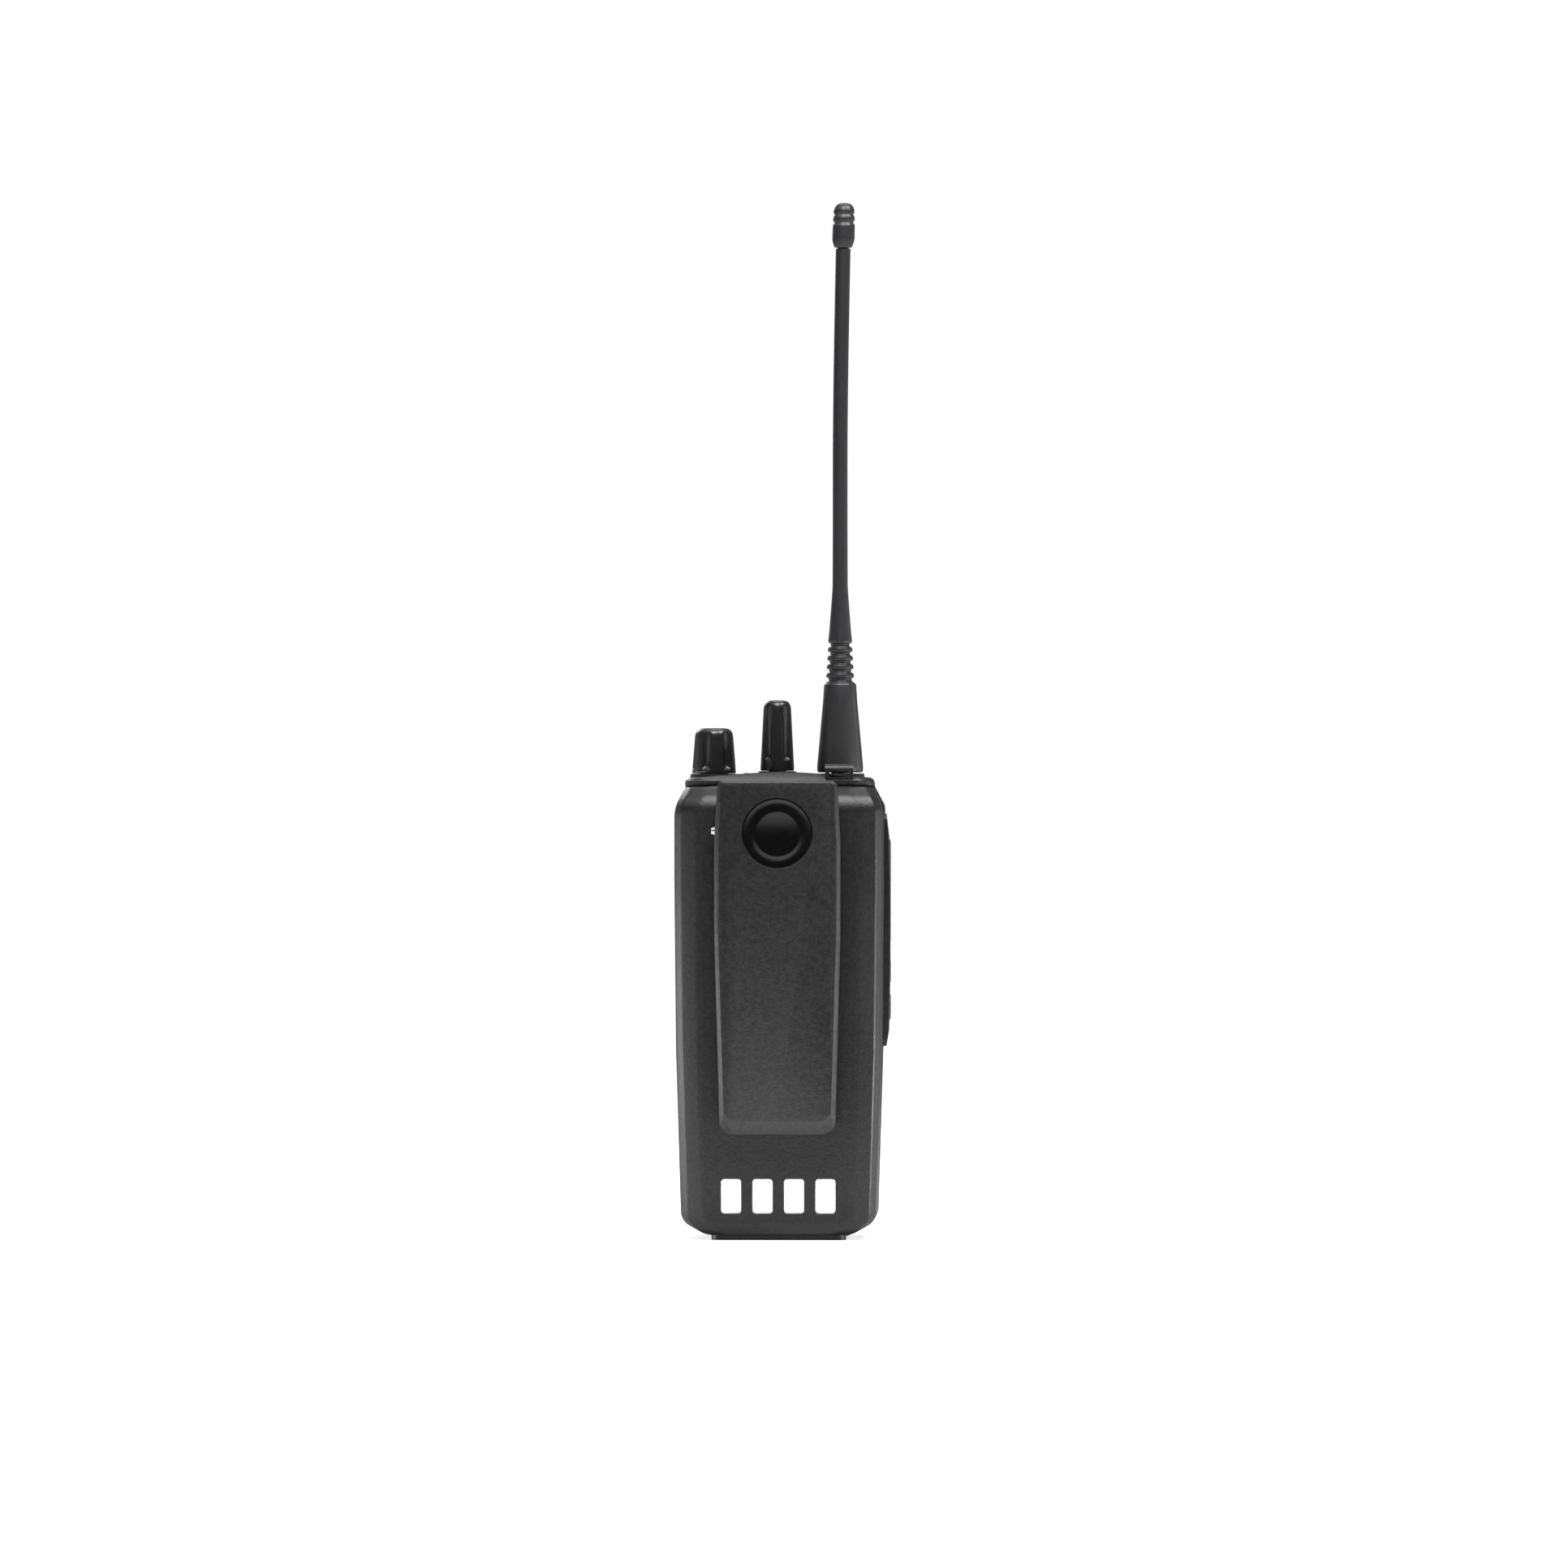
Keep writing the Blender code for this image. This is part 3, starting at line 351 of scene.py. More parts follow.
def spark_eroded(name, dark, light, roughness, grain, depth):
    """Black PC/ABS moulded against a spark-eroded tool.

    The tool leaves pits of about 0.1 mm, too fine to show, so they are drawn at the
    given grain in millimetres: a broken matt sheen, with the colour painted darker
    where the bump sinks as painted shade in the pits, and mottled at random by
    coarser clusters. Handling has polished broad patches a little.
    """
    material, tree, where, surface = blank_material(name)
    pits = add_node(
        tree, "ShaderNodeTexNoise",
        {"Vector": where, "Scale": cells(grain), "Detail": 4.0, "Roughness": 0.62},
    )
    clusters = add_node(
        tree, "ShaderNodeTexNoise",
        {"Vector": where, "Scale": cells(grain * 1.8), "Detail": 2.0},
    )
    handled = add_node(
        tree, "ShaderNodeTexNoise", {"Vector": where, "Scale": cells(38.0), "Detail": 2.0},
    )
    pit_shade_and_speckle = add_node(
        tree, "ShaderNodeMath",
        {0: pits.outputs[0], 1: clusters.outputs[0]}, operation="ADD",
    )
    # Painted shade: the colour darkens where the pits sink, mottled at random by the clusters.
    tone = add_node(
        tree, "ShaderNodeMapRange",
        {"Value": pit_shade_and_speckle.outputs[0], "From Min": 0.85, "From Max": 1.15},
    )
    base = add_node(
        tree, "ShaderNodeMix",
        {"Factor": tone.outputs[0], 6: colour(dark), 7: colour(light)}, data_type="RGBA",
    )
    sheen = add_node(
        tree, "ShaderNodeMapRange",
        {"Value": handled.outputs[0], "From Min": 0.3, "From Max": 0.7,
         "To Min": roughness - 0.05, "To Max": roughness + 0.06},
    )
    pitted = add_node(
        tree, "ShaderNodeBump",
        {"Height": pits.outputs[0], "Strength": 1.0, "Distance": depth / 1000},
    )
    shader = add_node(
        tree, "ShaderNodeBsdfPrincipled",
        {"Base Color": base.outputs[2], "Roughness": sheen.outputs[0], "IOR": 1.46,
         "Normal": pitted.outputs[0]},
    )
    tree.links.new(shader.outputs[0], surface)
    return material


housing_plastic = spark_eroded(
    "spark-eroded black PC/ABS, casing", "#080808", "#161617", 0.42, 0.65, 0.06,
)

# Half of its outline seen from the front, as (half width, height, corner radius).
casing_back = 0.85
casing_side = [
    (17.0, 0, 6), (25.6, 4.9, 4), (26.9, 50.0, 30), (27.35, 92.0, 30), (27.35, 113.0, 3),
    (24.7, 118.0, 1.5), (24.2, 123.0, 0),
]
casing_width = silhouette(both_sides(casing_side))
casing_depth = silhouette([(0, 0, 0), (18.0, 0, 2.5), (18.0, 123.0, 0), (0, 123.0, 0)])
layers = []
for z in heights_of(casing_width, casing_depth):
    w, front = reach_at(casing_width, z), -reach_at(casing_depth, z)
    plan = [(w, casing_back, 0), (w, front, 4.0), (-w, front, 4.0), (-w, casing_back, 0)]
    layers.append((plan, at_z(z)))
casing = raw_piece("front_housing_casing", loft(layers, 8))

# The top deck, carried back over the battery and crowned from side to side.
deck_layers = []
for z, back in ((118.5, 12.6), (118.8, 12.9), (119.7, 12.9), (119.9, 12.5), (123.0, 12.5)):
    w = reach_at(casing_width, z)
    plan = [(w, -4.0, 0), (w, back, 6.0), (-w, back, 6.0), (-w, -4.0, 0)]
    deck_layers.append((plan, at_z(z)))
trim(casing, loft(deck_layers, 8), "UNION")
crown = [
    (-30, 119.95, 0), (-9, 121.5, 60), (0, 122.0, 60), (9, 121.5, 60), (30, 119.95, 0),
    (30, 130, 0), (-30, 130, 0),
]
trim(casing, slab(crown, at_y, -30, 30))

# The deck's upper edge is well rounded, so it is bevelled before anything is cut.
work = bmesh.new()
work.from_mesh(casing.data)
bmesh.ops.remove_doubles(work, verts=work.verts, dist=0.01)
bmesh.ops.dissolve_limit(work, angle_limit=math.radians(0.5), verts=work.verts, edges=work.edges)
rim = [
    edge for edge in work.edges
    if len(edge.link_faces) == 2 and max(f.normal.z for f in edge.link_faces) > 0.95
    and min(f.normal.z for f in edge.link_faces) < 0.5
    and min(v.co.z for v in edge.verts) > 119.9
]
bmesh.ops.bevel(work, geom=rim, offset=1.2, segments=4, profile=0.5, affect="EDGES", material=-1)
work.to_mesh(casing.data)
work.free()
# Behind the knobs the deck falls away to its back edge.
trim(
    casing,
    slab([(14.0, 119.15, 0), (14.0, 126.0, 0), (7.4, 126.0, 0), (7.4, 122.5, 0)], at_x, -31, 31),
)

# Flat bosses under the knobs and the antenna level the crowned deck.
volume_at, channel_at, antenna_at = (17.5, -7.8), (0.9, -7.8), (-15.6, -7.8)
lens_at = (9.2, -13.5)
for place, radius, top in (
    (volume_at, 6.15, 121.4), (channel_at, 4.9, 122.1), (antenna_at, 6.3, 121.5),
):
    trim(casing, rod(at_z, place, 119.0, top, radius + 0.35, 96, radius), "UNION")

# Hollowed from the back, with a boss low on each side for a chassis screw.
cavity = [
    (21.0, 4.6, 1), (23.66, 6.1, 3), (24.9, 50, 0), (25.35, 92, 0), (25.35, 112.5, 2),
    (22.7, 117.6, 1),
]
trim(casing, slab(both_sides(cavity), at_y, -16.0, 5.0))
for x in (-19.0, 19.0):
    trim(casing, rod(at_y, (x, 12.0), -17.0, -2.6, 2.8), "UNION")
    trim(casing, rod(at_y, (x, 12.0), -14.0, 1.0, 1.2))

# Eight slots for the speaker, longest in the middle, and a small hole for the microphone.
openings = bmesh.new()
joined = bpy.data.meshes.new("openings")
speaker_z = 84.0
for row in range(8):
    z = speaker_z + (row - 3.5) * 4.0
    half = math.sqrt(16.5**2 - (z - speaker_z) ** 2)
    slot = slab(rectangle((-half, z - 0.9), (half, z + 0.9), 0.88), at_y, -19.0, -15.5)
    slot.to_mesh(joined)
    slot.free()
    openings.from_mesh(joined)
trim(casing, openings)
trim(casing, rod(at_y, (12.0, 50.0), -19, -15.5, 0.7, 24))
# A shallow groove frames the grille, and a blank panel is let in below it.
groove = raw_piece(
    "grille_groove", slab(rectangle((-21.0, 63.5), (21.0, 104.5), 7.0), at_y, -19.0, -17.55, 8),
)
trim(groove, slab(rectangle((-20.1, 64.4), (20.1, 103.6), 6.1), at_y, -20.0, -16.0, 8))
framed = bmesh.new()
framed.from_mesh(groove.data)
bpy.data.objects.remove(groove)
trim(casing, framed)
trim(casing, slab(rectangle((-15.0, 22.0), (15.0, 42.0), 2.5), at_y, -19.0, -17.6, 8))
# Bores for the two shafts, the antenna socket and the status light.
for place, radius in ((volume_at, 3.5), (channel_at, 2.6), (antenna_at, 4.2)):
    trim(casing, rod(at_z, place, 116.6, 124.0, radius))
trim(casing, rod(at_z, lens_at, 116.6, 124.0, 1.3, 24))
# The key bezel's opening in one side; in the other the dust cover's seat and, under it,
# the accessory socket's opening.
trim(casing, slab(rectangle((-15.0, 49.7), (-3.0, 111.3), 2.3), at_x, -29.0, -22.0))
trim(casing, slab(rectangle((-13.3, 72.0), (-2.7, 102.0), 2.3), at_x, 26.2, 29.0))
trim(casing, slab(rectangle((-11.8, 79.0), (-4.2, 97.0), 1.0), at_x, 22.0, 29.0))
# The battery latch slides in a pocket in the base; its thumb tab shows through a slot.
trim(casing, slab(rectangle((-8.3, -10.6), (8.3, 2.0)), at_z, 1.3, 3.5))
trim(casing, slab(rectangle((-4.5, -10.6), (4.5, -6.0), 0.6), at_z, -1.0, 1.6))

# Wrist-strap loop on the back of the deck, behind the antenna.
loop = [(9.6, 119.4, 0), (12.3, 119.4, 0), (12.3, 124.1, 1.5), (9.6, 124.1, 0.8)]
trim(casing, slab(loop, at_x, -19.4, -12.1), "UNION")
trim(casing, slab(rectangle((-18.3, 120.7), (-13.2, 122.4), 0.3), at_y, 8.6, 13.5))
finish_piece(casing, housing_plastic, "radio", ["front_housing"])

# ---------------------------------------------------------------------------
# Inside the casing
# A die-cast aluminium chassis closes the casing against a rubber ring, with two
# screws and four hooks for the battery. In front of it stand the board under its
# shield can, the speaker on its bracket, the microphone and the key board.
# ---------------------------------------------------------------------------
def dress(material, *names):
    """Gives CAD nodes a material of this file."""
    for name in names:
        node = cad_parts[name]
        for slot in node.material_slots:
            slot.material = material


die_cast, tree, where, surface = blank_material("die-cast aluminium, tumbled")
# Cast skin: soft grey ripples from the die, brighter where tumbling rubbed it.
skin = add_node(tree, "ShaderNodeTexNoise", {"Vector": where, "Scale": cells(0.8), "Detail": 5.0})
flow = add_node(
    tree, "ShaderNodeTexNoise",
    {"Vector": where, "Scale": cells(12.0), "Detail": 2.0, "Distortion": 1.5},
)
base = add_node(
    tree, "ShaderNodeMix",
    {"Factor": flow.outputs[0], 6: colour("#8E9094"), 7: colour("#B4B6B8")}, data_type="RGBA",
)
rough = add_node(
    tree, "ShaderNodeMapRange", {"Value": skin.outputs[0], "To Min": 0.38, "To Max": 0.62},
)
dents = add_node(
    tree, "ShaderNodeBump", {"Height": skin.outputs[0], "Strength": 0.5, "Distance": 0.00008},
)
shader = add_node(
    tree, "ShaderNodeBsdfPrincipled",
    {"Base Color": base.outputs[2], "Metallic": 1.0, "Roughness": rough.outputs[0],
     "Normal": dents.outputs[0]},
)
tree.links.new(shader.outputs[0], surface)
dress(die_cast, "chassis")

seal_rubber, tree, where, surface = blank_material("moulded nitrile rubber")
# Pressed rubber: nearly black, dull, with a faint bloom that greys it in patches.
bloom = add_node(tree, "ShaderNodeTexNoise", {"Vector": where, "Scale": cells(3.0), "Detail": 4.0})
base = add_node(
    tree, "ShaderNodeMix",
    {"Factor": bloom.outputs[0], 6: colour("#151515"), 7: colour("#232323")}, data_type="RGBA",
)
rough = add_node(
    tree, "ShaderNodeMapRange", {"Value": bloom.outputs[0], "To Min": 0.62, "To Max": 0.85},
)
shader = add_node(
    tree, "ShaderNodeBsdfPrincipled",
    {"Base Color": base.outputs[2], "Roughness": rough.outputs[0], "IOR": 1.52},
)
tree.links.new(shader.outputs[0], surface)
dress(seal_rubber, "housing_seal", "microphone_boot")

plated_steel, tree, where, surface = blank_material("zinc-plated steel")
# Rolled sheet and turned bar with a thin bright plating: fine lines along the stock.
along = add_node(tree, "ShaderNodeMapping", {"Vector": where, "Scale": (0.12, 1.0, 1.0)})
lines = add_node(
    tree, "ShaderNodeTexNoise", {"Vector": along.outputs[0], "Scale": cells(0.25), "Detail": 3.0},
)
rough = add_node(
    tree, "ShaderNodeMapRange", {"Value": lines.outputs[0], "To Min": 0.2, "To Max": 0.42},
)
scratch = add_node(
    tree, "ShaderNodeBump", {"Height": lines.outputs[0], "Strength": 0.25, "Distance": 0.00003},
)
shader = add_node(
    tree, "ShaderNodeBsdfPrincipled",
    {"Base Color": colour("#C9CACC"), "Metallic": 1.0, "Roughness": rough.outputs[0],
     "Normal": scratch.outputs[0]},
)
tree.links.new(shader.outputs[0], surface)
dress(
    plated_steel, "chassis_screw_left", "chassis_screw_right", "rf_shield", "speaker_bracket",
    "volume_potentiometer", "channel_switch", "volume_shaft", "channel_shaft", "microphone",
    "ptt_button_switch", "side_button_upper_switch", "side_button_lower_switch", "clip_spring",
)

turned_brass, tree, where, surface = blank_material("turned brass")
# Bar-turned brass: rings from the tool on a warm metal that has dulled a little.
rings = add_node(
    tree, "ShaderNodeTexWave",
    {"Vector": where, "Scale": cells(0.3), "Distortion": 2.0, "Detail": 2.0}, bands_direction="Z",
)
rough = add_node(
    tree, "ShaderNodeMapRange", {"Value": rings.outputs[1], "To Min": 0.25, "To Max": 0.4},
)
shader = add_node(
    tree, "ShaderNodeBsdfPrincipled",
    {"Base Color": colour("#C9A45C"), "Metallic": 1.0, "Roughness": rough.outputs[0]},
)
tree.links.new(shader.outputs[0], surface)
dress(
    turned_brass, "antenna_socket", "volume_nut", "channel_nut",
    "radio_terminal_1", "radio_terminal_2", "radio_terminal_3",
    "battery_terminal_1", "battery_terminal_2", "battery_terminal_3",
)

circuit_board, tree, where, surface = blank_material("green solder mask on glass epoxy")
# Copper tracks and pours show through the mask as lighter green blocks, 1.5 mm across.
tracks = add_node(
    tree, "ShaderNodeTexVoronoi", {"Vector": where, "Scale": cells(1.5)}, distance="MANHATTAN",
)
pours = add_node(
    tree, "ShaderNodeMapRange",
    {"Value": tracks.outputs["Distance"], "From Min": 0.35, "From Max": 0.42},
)
base = add_node(
    tree, "ShaderNodeMix",
    {"Factor": pours.outputs[0], 6: colour("#1F6B41"), 7: colour("#13472B")}, data_type="RGBA",
)
raised = add_node(
    tree, "ShaderNodeBump", {"Height": pours.outputs[0], "Strength": 0.4, "Distance": 0.00004},
    invert=True,
)
shader = add_node(
    tree, "ShaderNodeBsdfPrincipled",
    {"Base Color": base.outputs[2], "Roughness": 0.3, "IOR": 1.55, "Normal": raised.outputs[0]},
)
tree.links.new(shader.outputs[0], surface)
dress(circuit_board, "main_board", "side_key_board", "battery_board")

speaker_cloth, tree, where, surface = blank_material("woven acoustic cloth")
# Plain weave of 0.5 mm black polyester yarn: rows of raised threads both ways.
warp = add_node(
    tree, "ShaderNodeTexWave", {"Vector": where, "Scale": cells(3.2)}, bands_direction="X",
)
weft = add_node(
    tree, "ShaderNodeTexWave", {"Vector": where, "Scale": cells(3.2)}, bands_direction="Z",
)
woven = add_node(
    tree, "ShaderNodeMath", {0: warp.outputs[1], 1: weft.outputs[1]}, operation="MAXIMUM",
)
base = add_node(
    tree, "ShaderNodeMix",
    {"Factor": woven.outputs[0], 6: colour("#0B0B0B"), 7: colour("#242426")}, data_type="RGBA",
)
threads = add_node(
    tree, "ShaderNodeBump", {"Height": woven.outputs[0], "Strength": 0.8, "Distance": 0.0001},
)
shader = add_node(
    tree, "ShaderNodeBsdfPrincipled",
    {"Base Color": base.outputs[2], "Roughness": 0.9, "Sheen Weight": 0.3,
     "Normal": threads.outputs[0]},
)
tree.links.new(shader.outputs[0], surface)
dress(speaker_cloth, "speaker_cloth")

inner_plastic, tree, where, surface = blank_material("glass-filled nylon")
# Inner mouldings: dull black, with the pale flecks of short glass fibres.
fibres = add_node(
    tree, "ShaderNodeTexNoise",
    {"Vector": where, "Scale": cells(0.3), "Detail": 2.0, "Distortion": 3.0},
)
flecks = add_node(
    tree, "ShaderNodeMapRange", {"Value": fibres.outputs[0], "From Min": 0.55, "From Max": 0.75},
)
base = add_node(
    tree, "ShaderNodeMix",
    {"Factor": flecks.outputs[0], 6: colour("#1A1A1B"), 7: colour("#3A3A3B")}, data_type="RGBA",
)
shader = add_node(
    tree, "ShaderNodeBsdfPrincipled",
    {"Base Color": base.outputs[2], "Roughness": 0.55, "IOR": 1.53},
)
tree.links.new(shader.outputs[0], surface)
dress(inner_plastic, "speaker", "terminal_block", "accessory_socket", "battery_latch")

# ---------------------------------------------------------------------------
# Status light
# A clear acrylic rod pressed into the deck in front of the knobs; the lamp on the
# board below shines up through it.
# ---------------------------------------------------------------------------
clear_acrylic, tree, where, surface = blank_material("clear acrylic")
# Unlit and polished: it takes the grey of the board below, under a sharp gloss.
haze = add_node(tree, "ShaderNodeTexNoise", {"Vector": where, "Scale": cells(0.6)})
rough = add_node(
    tree, "ShaderNodeMapRange", {"Value": haze.outputs[0], "To Min": 0.04, "To Max": 0.12},
)
shader = add_node(
    tree, "ShaderNodeBsdfPrincipled",
    {"Base Color": colour("#E6E4DC"), "Roughness": rough.outputs[0], "IOR": 1.49,
     "Transmission Weight": 0.7},
)
tree.links.new(shader.outputs[0], surface)


def turned(profile, centre, segments, cuts=None):
    """A profile (radius, height) from the top, down its outer side, spun round an upright axis."""
    mesh = bmesh.new()
    verts = [mesh.verts.new((radius, 0, z)) for radius, z in profile]
    edges = [mesh.edges.new(pair) for pair in zip(verts, verts[1:])]
    for edge in edges if cuts else []:
        number = int(edge.calc_length() / cuts)
        if number:
            bmesh.ops.subdivide_edges(mesh, edges=[edge], cuts=number)
    bmesh.ops.spin(
        mesh, geom=mesh.verts[:] + mesh.edges[:], cent=(0, 0, 0), axis=(0, 0, 1),
        angle=math.tau, steps=segments, use_merge=True,
    )
    bmesh.ops.remove_doubles(mesh, verts=mesh.verts, dist=0.001)
    bmesh.ops.recalc_face_normals(mesh, faces=mesh.faces)
    bmesh.ops.translate(mesh, vec=(centre[0], centre[1], 0), verts=mesh.verts)
    return mesh


lens_profile = [
    (0, 121.7), (0.35, 121.68), (0.65, 121.58), (0.88, 121.38), (1.0, 121.1), (1.0, 118.0),
    (0, 118.0),
]
lens = raw_piece("status_lens_rod", turned(lens_profile, lens_at, 32))
finish_piece(lens, clear_acrylic, "radio", ["status_lens"], edge=0, angle=50)

# ---------------------------------------------------------------------------
# Knobs
# Two push-on knobs in satin-polished black ABS: a short wide one for volume and a
# tall slim one for channels. Each has finger flutes that run down from the crown
# and end in a scoop above a plain skirt.
# ---------------------------------------------------------------------------
knob_plastic, tree, where, surface = blank_material("satin-polished black ABS")
# Polished tool: an even, deep black with a clear soft gloss; fingers dull the flutes in patches.
touch = add_node(tree, "ShaderNodeTexNoise", {"Vector": where, "Scale": cells(2.5), "Detail": 3.0})
fine = add_node(tree, "ShaderNodeTexNoise", {"Vector": where, "Scale": cells(0.35), "Detail": 2.0})
base = add_node(
    tree, "ShaderNodeMix",
    {"Factor": touch.outputs[0], 6: colour("#0E0E0F"), 7: colour("#161617")}, data_type="RGBA",
)
rough = add_node(
    tree, "ShaderNodeMapRange", {"Value": touch.outputs[0], "To Min": 0.3, "To Max": 0.36},
)
orange_peel = add_node(
    tree, "ShaderNodeBump", {"Height": fine.outputs[0], "Strength": 0.06, "Distance": 0.00002},
)
shader = add_node(
    tree, "ShaderNodeBsdfPrincipled",
    {"Base Color": base.outputs[2], "Roughness": rough.outputs[0], "IOR": 1.53,
     "Normal": orange_peel.outputs[0]},
)
tree.links.new(shader.outputs[0], surface)


def cut_flutes(piece, centre, directions, half_angle, floor_radius, scoop):
    """Runs a ball-nosed cutter down a knob: upright, so that each flute deepens as the
    knob widens, and ends in a scoop, given as the height where it starts and its length."""
    for vert in piece.data.vertices:
        x, y = vert.co.x - centre[0], vert.co.y - centre[1]
        radius = math.hypot(x, y)
        rise = min(1.0, (vert.co.z - scoop[0]) / scoop[1])
        near = min(
            abs(math.remainder(math.atan2(y, x) - way, math.tau))
            for way in directions
        ) if radius else 9
        if rise <= 0 or radius <= floor_radius or near >= half_angle:
            continue
        across = math.sqrt(1 - (near / half_angle) ** 2)
        inward = (radius - floor_radius) * across * math.sqrt(1 - (1 - rise) ** 2)
        vert.co.x -= x / radius * inward
        vert.co.y -= y / radius * inward


volume_profile = [
    (0, 133.4), (2.2, 133.4), (3.3, 133.32), (4.0, 133.1), (4.5, 132.7), (4.85, 132.1),
    (5.02, 131.3), (5.6, 124.0), (5.73, 122.1), (5.7, 121.7), (5.55, 121.5), (4.6, 121.5),
    (4.6, 123.4), (1.8, 123.4), (1.8, 130.4), (0, 130.4),
]
volume = raw_piece("volume_knob_moulding", turned(volume_profile, volume_at, 180, cuts=0.25))
volume_ways = [math.radians(90 + 40 + 60 * number) for number in range(6)]
cut_flutes(volume, volume_at, volume_ways, math.radians(12), 4.7, (122.7, 1.7))
finish_piece(
    volume, knob_plastic, "volume_control", ["volume_knob"], edge=0, angle=75,
)

channel_profile = [
    (0, 140.7), (1.3, 140.7), (2.1, 140.62), (2.75, 140.38), (3.2, 139.95), (3.48, 139.3),
    (3.62, 138.5), (4.2, 127.0), (4.43, 122.8), (4.4, 122.4), (4.25, 122.2), (3.5, 122.2),
    (3.5, 124.5), (1.4, 124.5), (1.4, 136.8), (0, 136.8),
]
channel = raw_piece("channel_knob_moulding", turned(channel_profile, channel_at, 180, cuts=0.25))
channel_ways = [math.radians(90 + 39 + 72 * number) for number in range(5)]
cut_flutes(channel, channel_at, channel_ways, math.radians(15), 3.4, (125.1, 1.7))
finish_piece(
    channel, knob_plastic, "channel_control", ["channel_knob"], edge=0, angle=75,
)

# ---------------------------------------------------------------------------
# Antenna
# A quarter-wave whip: a steel cable in a moulded elastomer jacket, thick and conical
# where it screws down, five flex grooves above, and a glued-on end cap. It leans a
# little to one side towards its tip.
# ---------------------------------------------------------------------------
jacket_elastomer, tree, where, surface = blank_material("moulded polyurethane elastomer")
# Rubbery and half matt: soft broad highlights, and faint flow lines up its length.
stretched = add_node(tree, "ShaderNodeMapping", {"Vector": where, "Scale": (1.0, 1.0, 0.06)})
flow = add_node(
    tree, "ShaderNodeTexNoise",
    {"Vector": stretched.outputs[0], "Scale": cells(1.2), "Detail": 3.0},
)
pores = add_node(tree, "ShaderNodeTexNoise", {"Vector": where, "Scale": cells(0.45), "Detail": 3.0})
base = add_node(
    tree, "ShaderNodeMix",
    {"Factor": flow.outputs[0], 6: colour("#18181A"), 7: colour("#232325")}, data_type="RGBA",
)
rough = add_node(
    tree, "ShaderNodeMapRange", {"Value": pores.outputs[0], "To Min": 0.36, "To Max": 0.5},
)
skin = add_node(
    tree, "ShaderNodeBump", {"Height": pores.outputs[0], "Strength": 0.35, "Distance": 0.00003},
)
shader = add_node(
    tree, "ShaderNodeBsdfPrincipled",
    {"Base Color": base.outputs[2], "Roughness": rough.outputs[0], "IOR": 1.5,
     "Normal": skin.outputs[0]},
)
tree.links.new(shader.outputs[0], surface)


def lean(piece):
    """Bends the whip sideways, more the further up it is."""
    bend_from, tip_height, sideways = 205.0, 271.3, 1.05
    for vert in piece.data.vertices:
        up = (vert.co.z - bend_from) / (tip_height - bend_from)
        if up > 0:
            vert.co.x -= sideways * up**1.5


jacket = [
    (0, 265.5), (1.5, 265.5), (1.5, 259.2), (1.95, 259.2), (1.95, 186.0), (2.0, 171.0),
    (2.1, 169.0), (2.25, 167.0), (2.45, 164.2), (2.62, 162.0), (2.8, 159.6), (2.92, 158.3),
    (3.05, 157.2), (3.1, 156.5),
]
for groove in range(5):
    z, ridge = 155.2 - groove * 2.27, 3.15 + 0.14 * groove
    jacket += [
        (ridge - 0.03, z + 0.85), (ridge - 0.12, z + 0.6), (ridge - 0.55, z + 0.42),
        (ridge - 0.68, z + 0.2), (ridge - 0.68, z - 0.2), (ridge - 0.55, z - 0.42),
        (ridge - 0.1, z - 0.6), (ridge, z - 0.85),
    ]
jacket += [
    (3.95, 145.15), (4.12, 145.0), (4.25, 144.6), (4.5, 140.5), (6.03, 123.4), (6.02, 122.3),
    (5.9, 121.95), (5.7, 121.8), (2.7, 121.8), (2.7, 129.8), (0, 129.8),
]
whip = raw_piece("antenna_jacket", turned(jacket, antenna_at, 72, cuts=5.0))
lean(whip)
finish_piece(whip, jacket_elastomer, "radio", ["antenna"], edge=0, angle=40)

cap = [
    (0, 271.3), (0.8, 271.25), (1.5, 271.05), (2.1, 270.65), (2.5, 270.1), (2.72, 269.4),
    (2.78, 268.75), (2.6, 268.45), (2.5, 268.2), (2.6, 267.95), (2.82, 267.6), (2.86, 267.1),
    (2.82, 266.6), (2.6, 266.35), (2.5, 266.1), (2.62, 265.85), (2.9, 265.5), (2.95, 265.0),
    (2.95, 261.8), (2.85, 261.2), (2.5, 260.1), (2.3, 259.65), (2.15, 259.5), (1.8, 259.5),
    (1.8, 265.8), (0, 265.8),
]
tip = raw_piece("antenna_cap_moulding", turned(cap, antenna_at, 72, cuts=2.0))
lean(tip)
finish_piece(
    tip, jacket_elastomer, "radio", ["antenna_cap"], edge=0, angle=40,
)

# ---------------------------------------------------------------------------
# Push-to-talk side
# A bezel in the casing's plastic bulges from the side and frames three silicone
# keys: the long push-to-talk bar with grip ribs, and two short keys below it.
# ---------------------------------------------------------------------------
bezel = raw_piece(
    "side_bezel_moulding",
    slab(rectangle((-14.7, 50.0), (-3.3, 111.0), 2.0), at_x, -29.0, -26.0, 8),
)
bulge = [
    (-27.6, 49.0, 0), (-25.0, 49.0, 0), (-25.0, 112.0, 0), (-27.6, 112.0, 0), (-28.4, 105.0, 9),
    (-28.75, 92.0, 30), (-28.75, 70.0, 30), (-28.4, 54.0, 9),
]
trim(bezel, slab(bulge, at_y, -16.0, -2.0, 8), "INTERSECT")
key_rows = {
    "ptt_button": (76.5, 104.5), "side_button_upper": (66.0, 73.5),
    "side_button_lower": (56.5, 64.0),
}
for low, high in key_rows.values():
    trim(bezel, slab(rectangle((-13.8, low - 0.3), (-4.2, high + 0.3), 1.8), at_x, -30.0, -24.0))
finish_piece(bezel, housing_plastic, "radio", ["side_bezel"], edge=0.3)

key_silicone, tree, where, surface = blank_material("moulded silicone rubber")
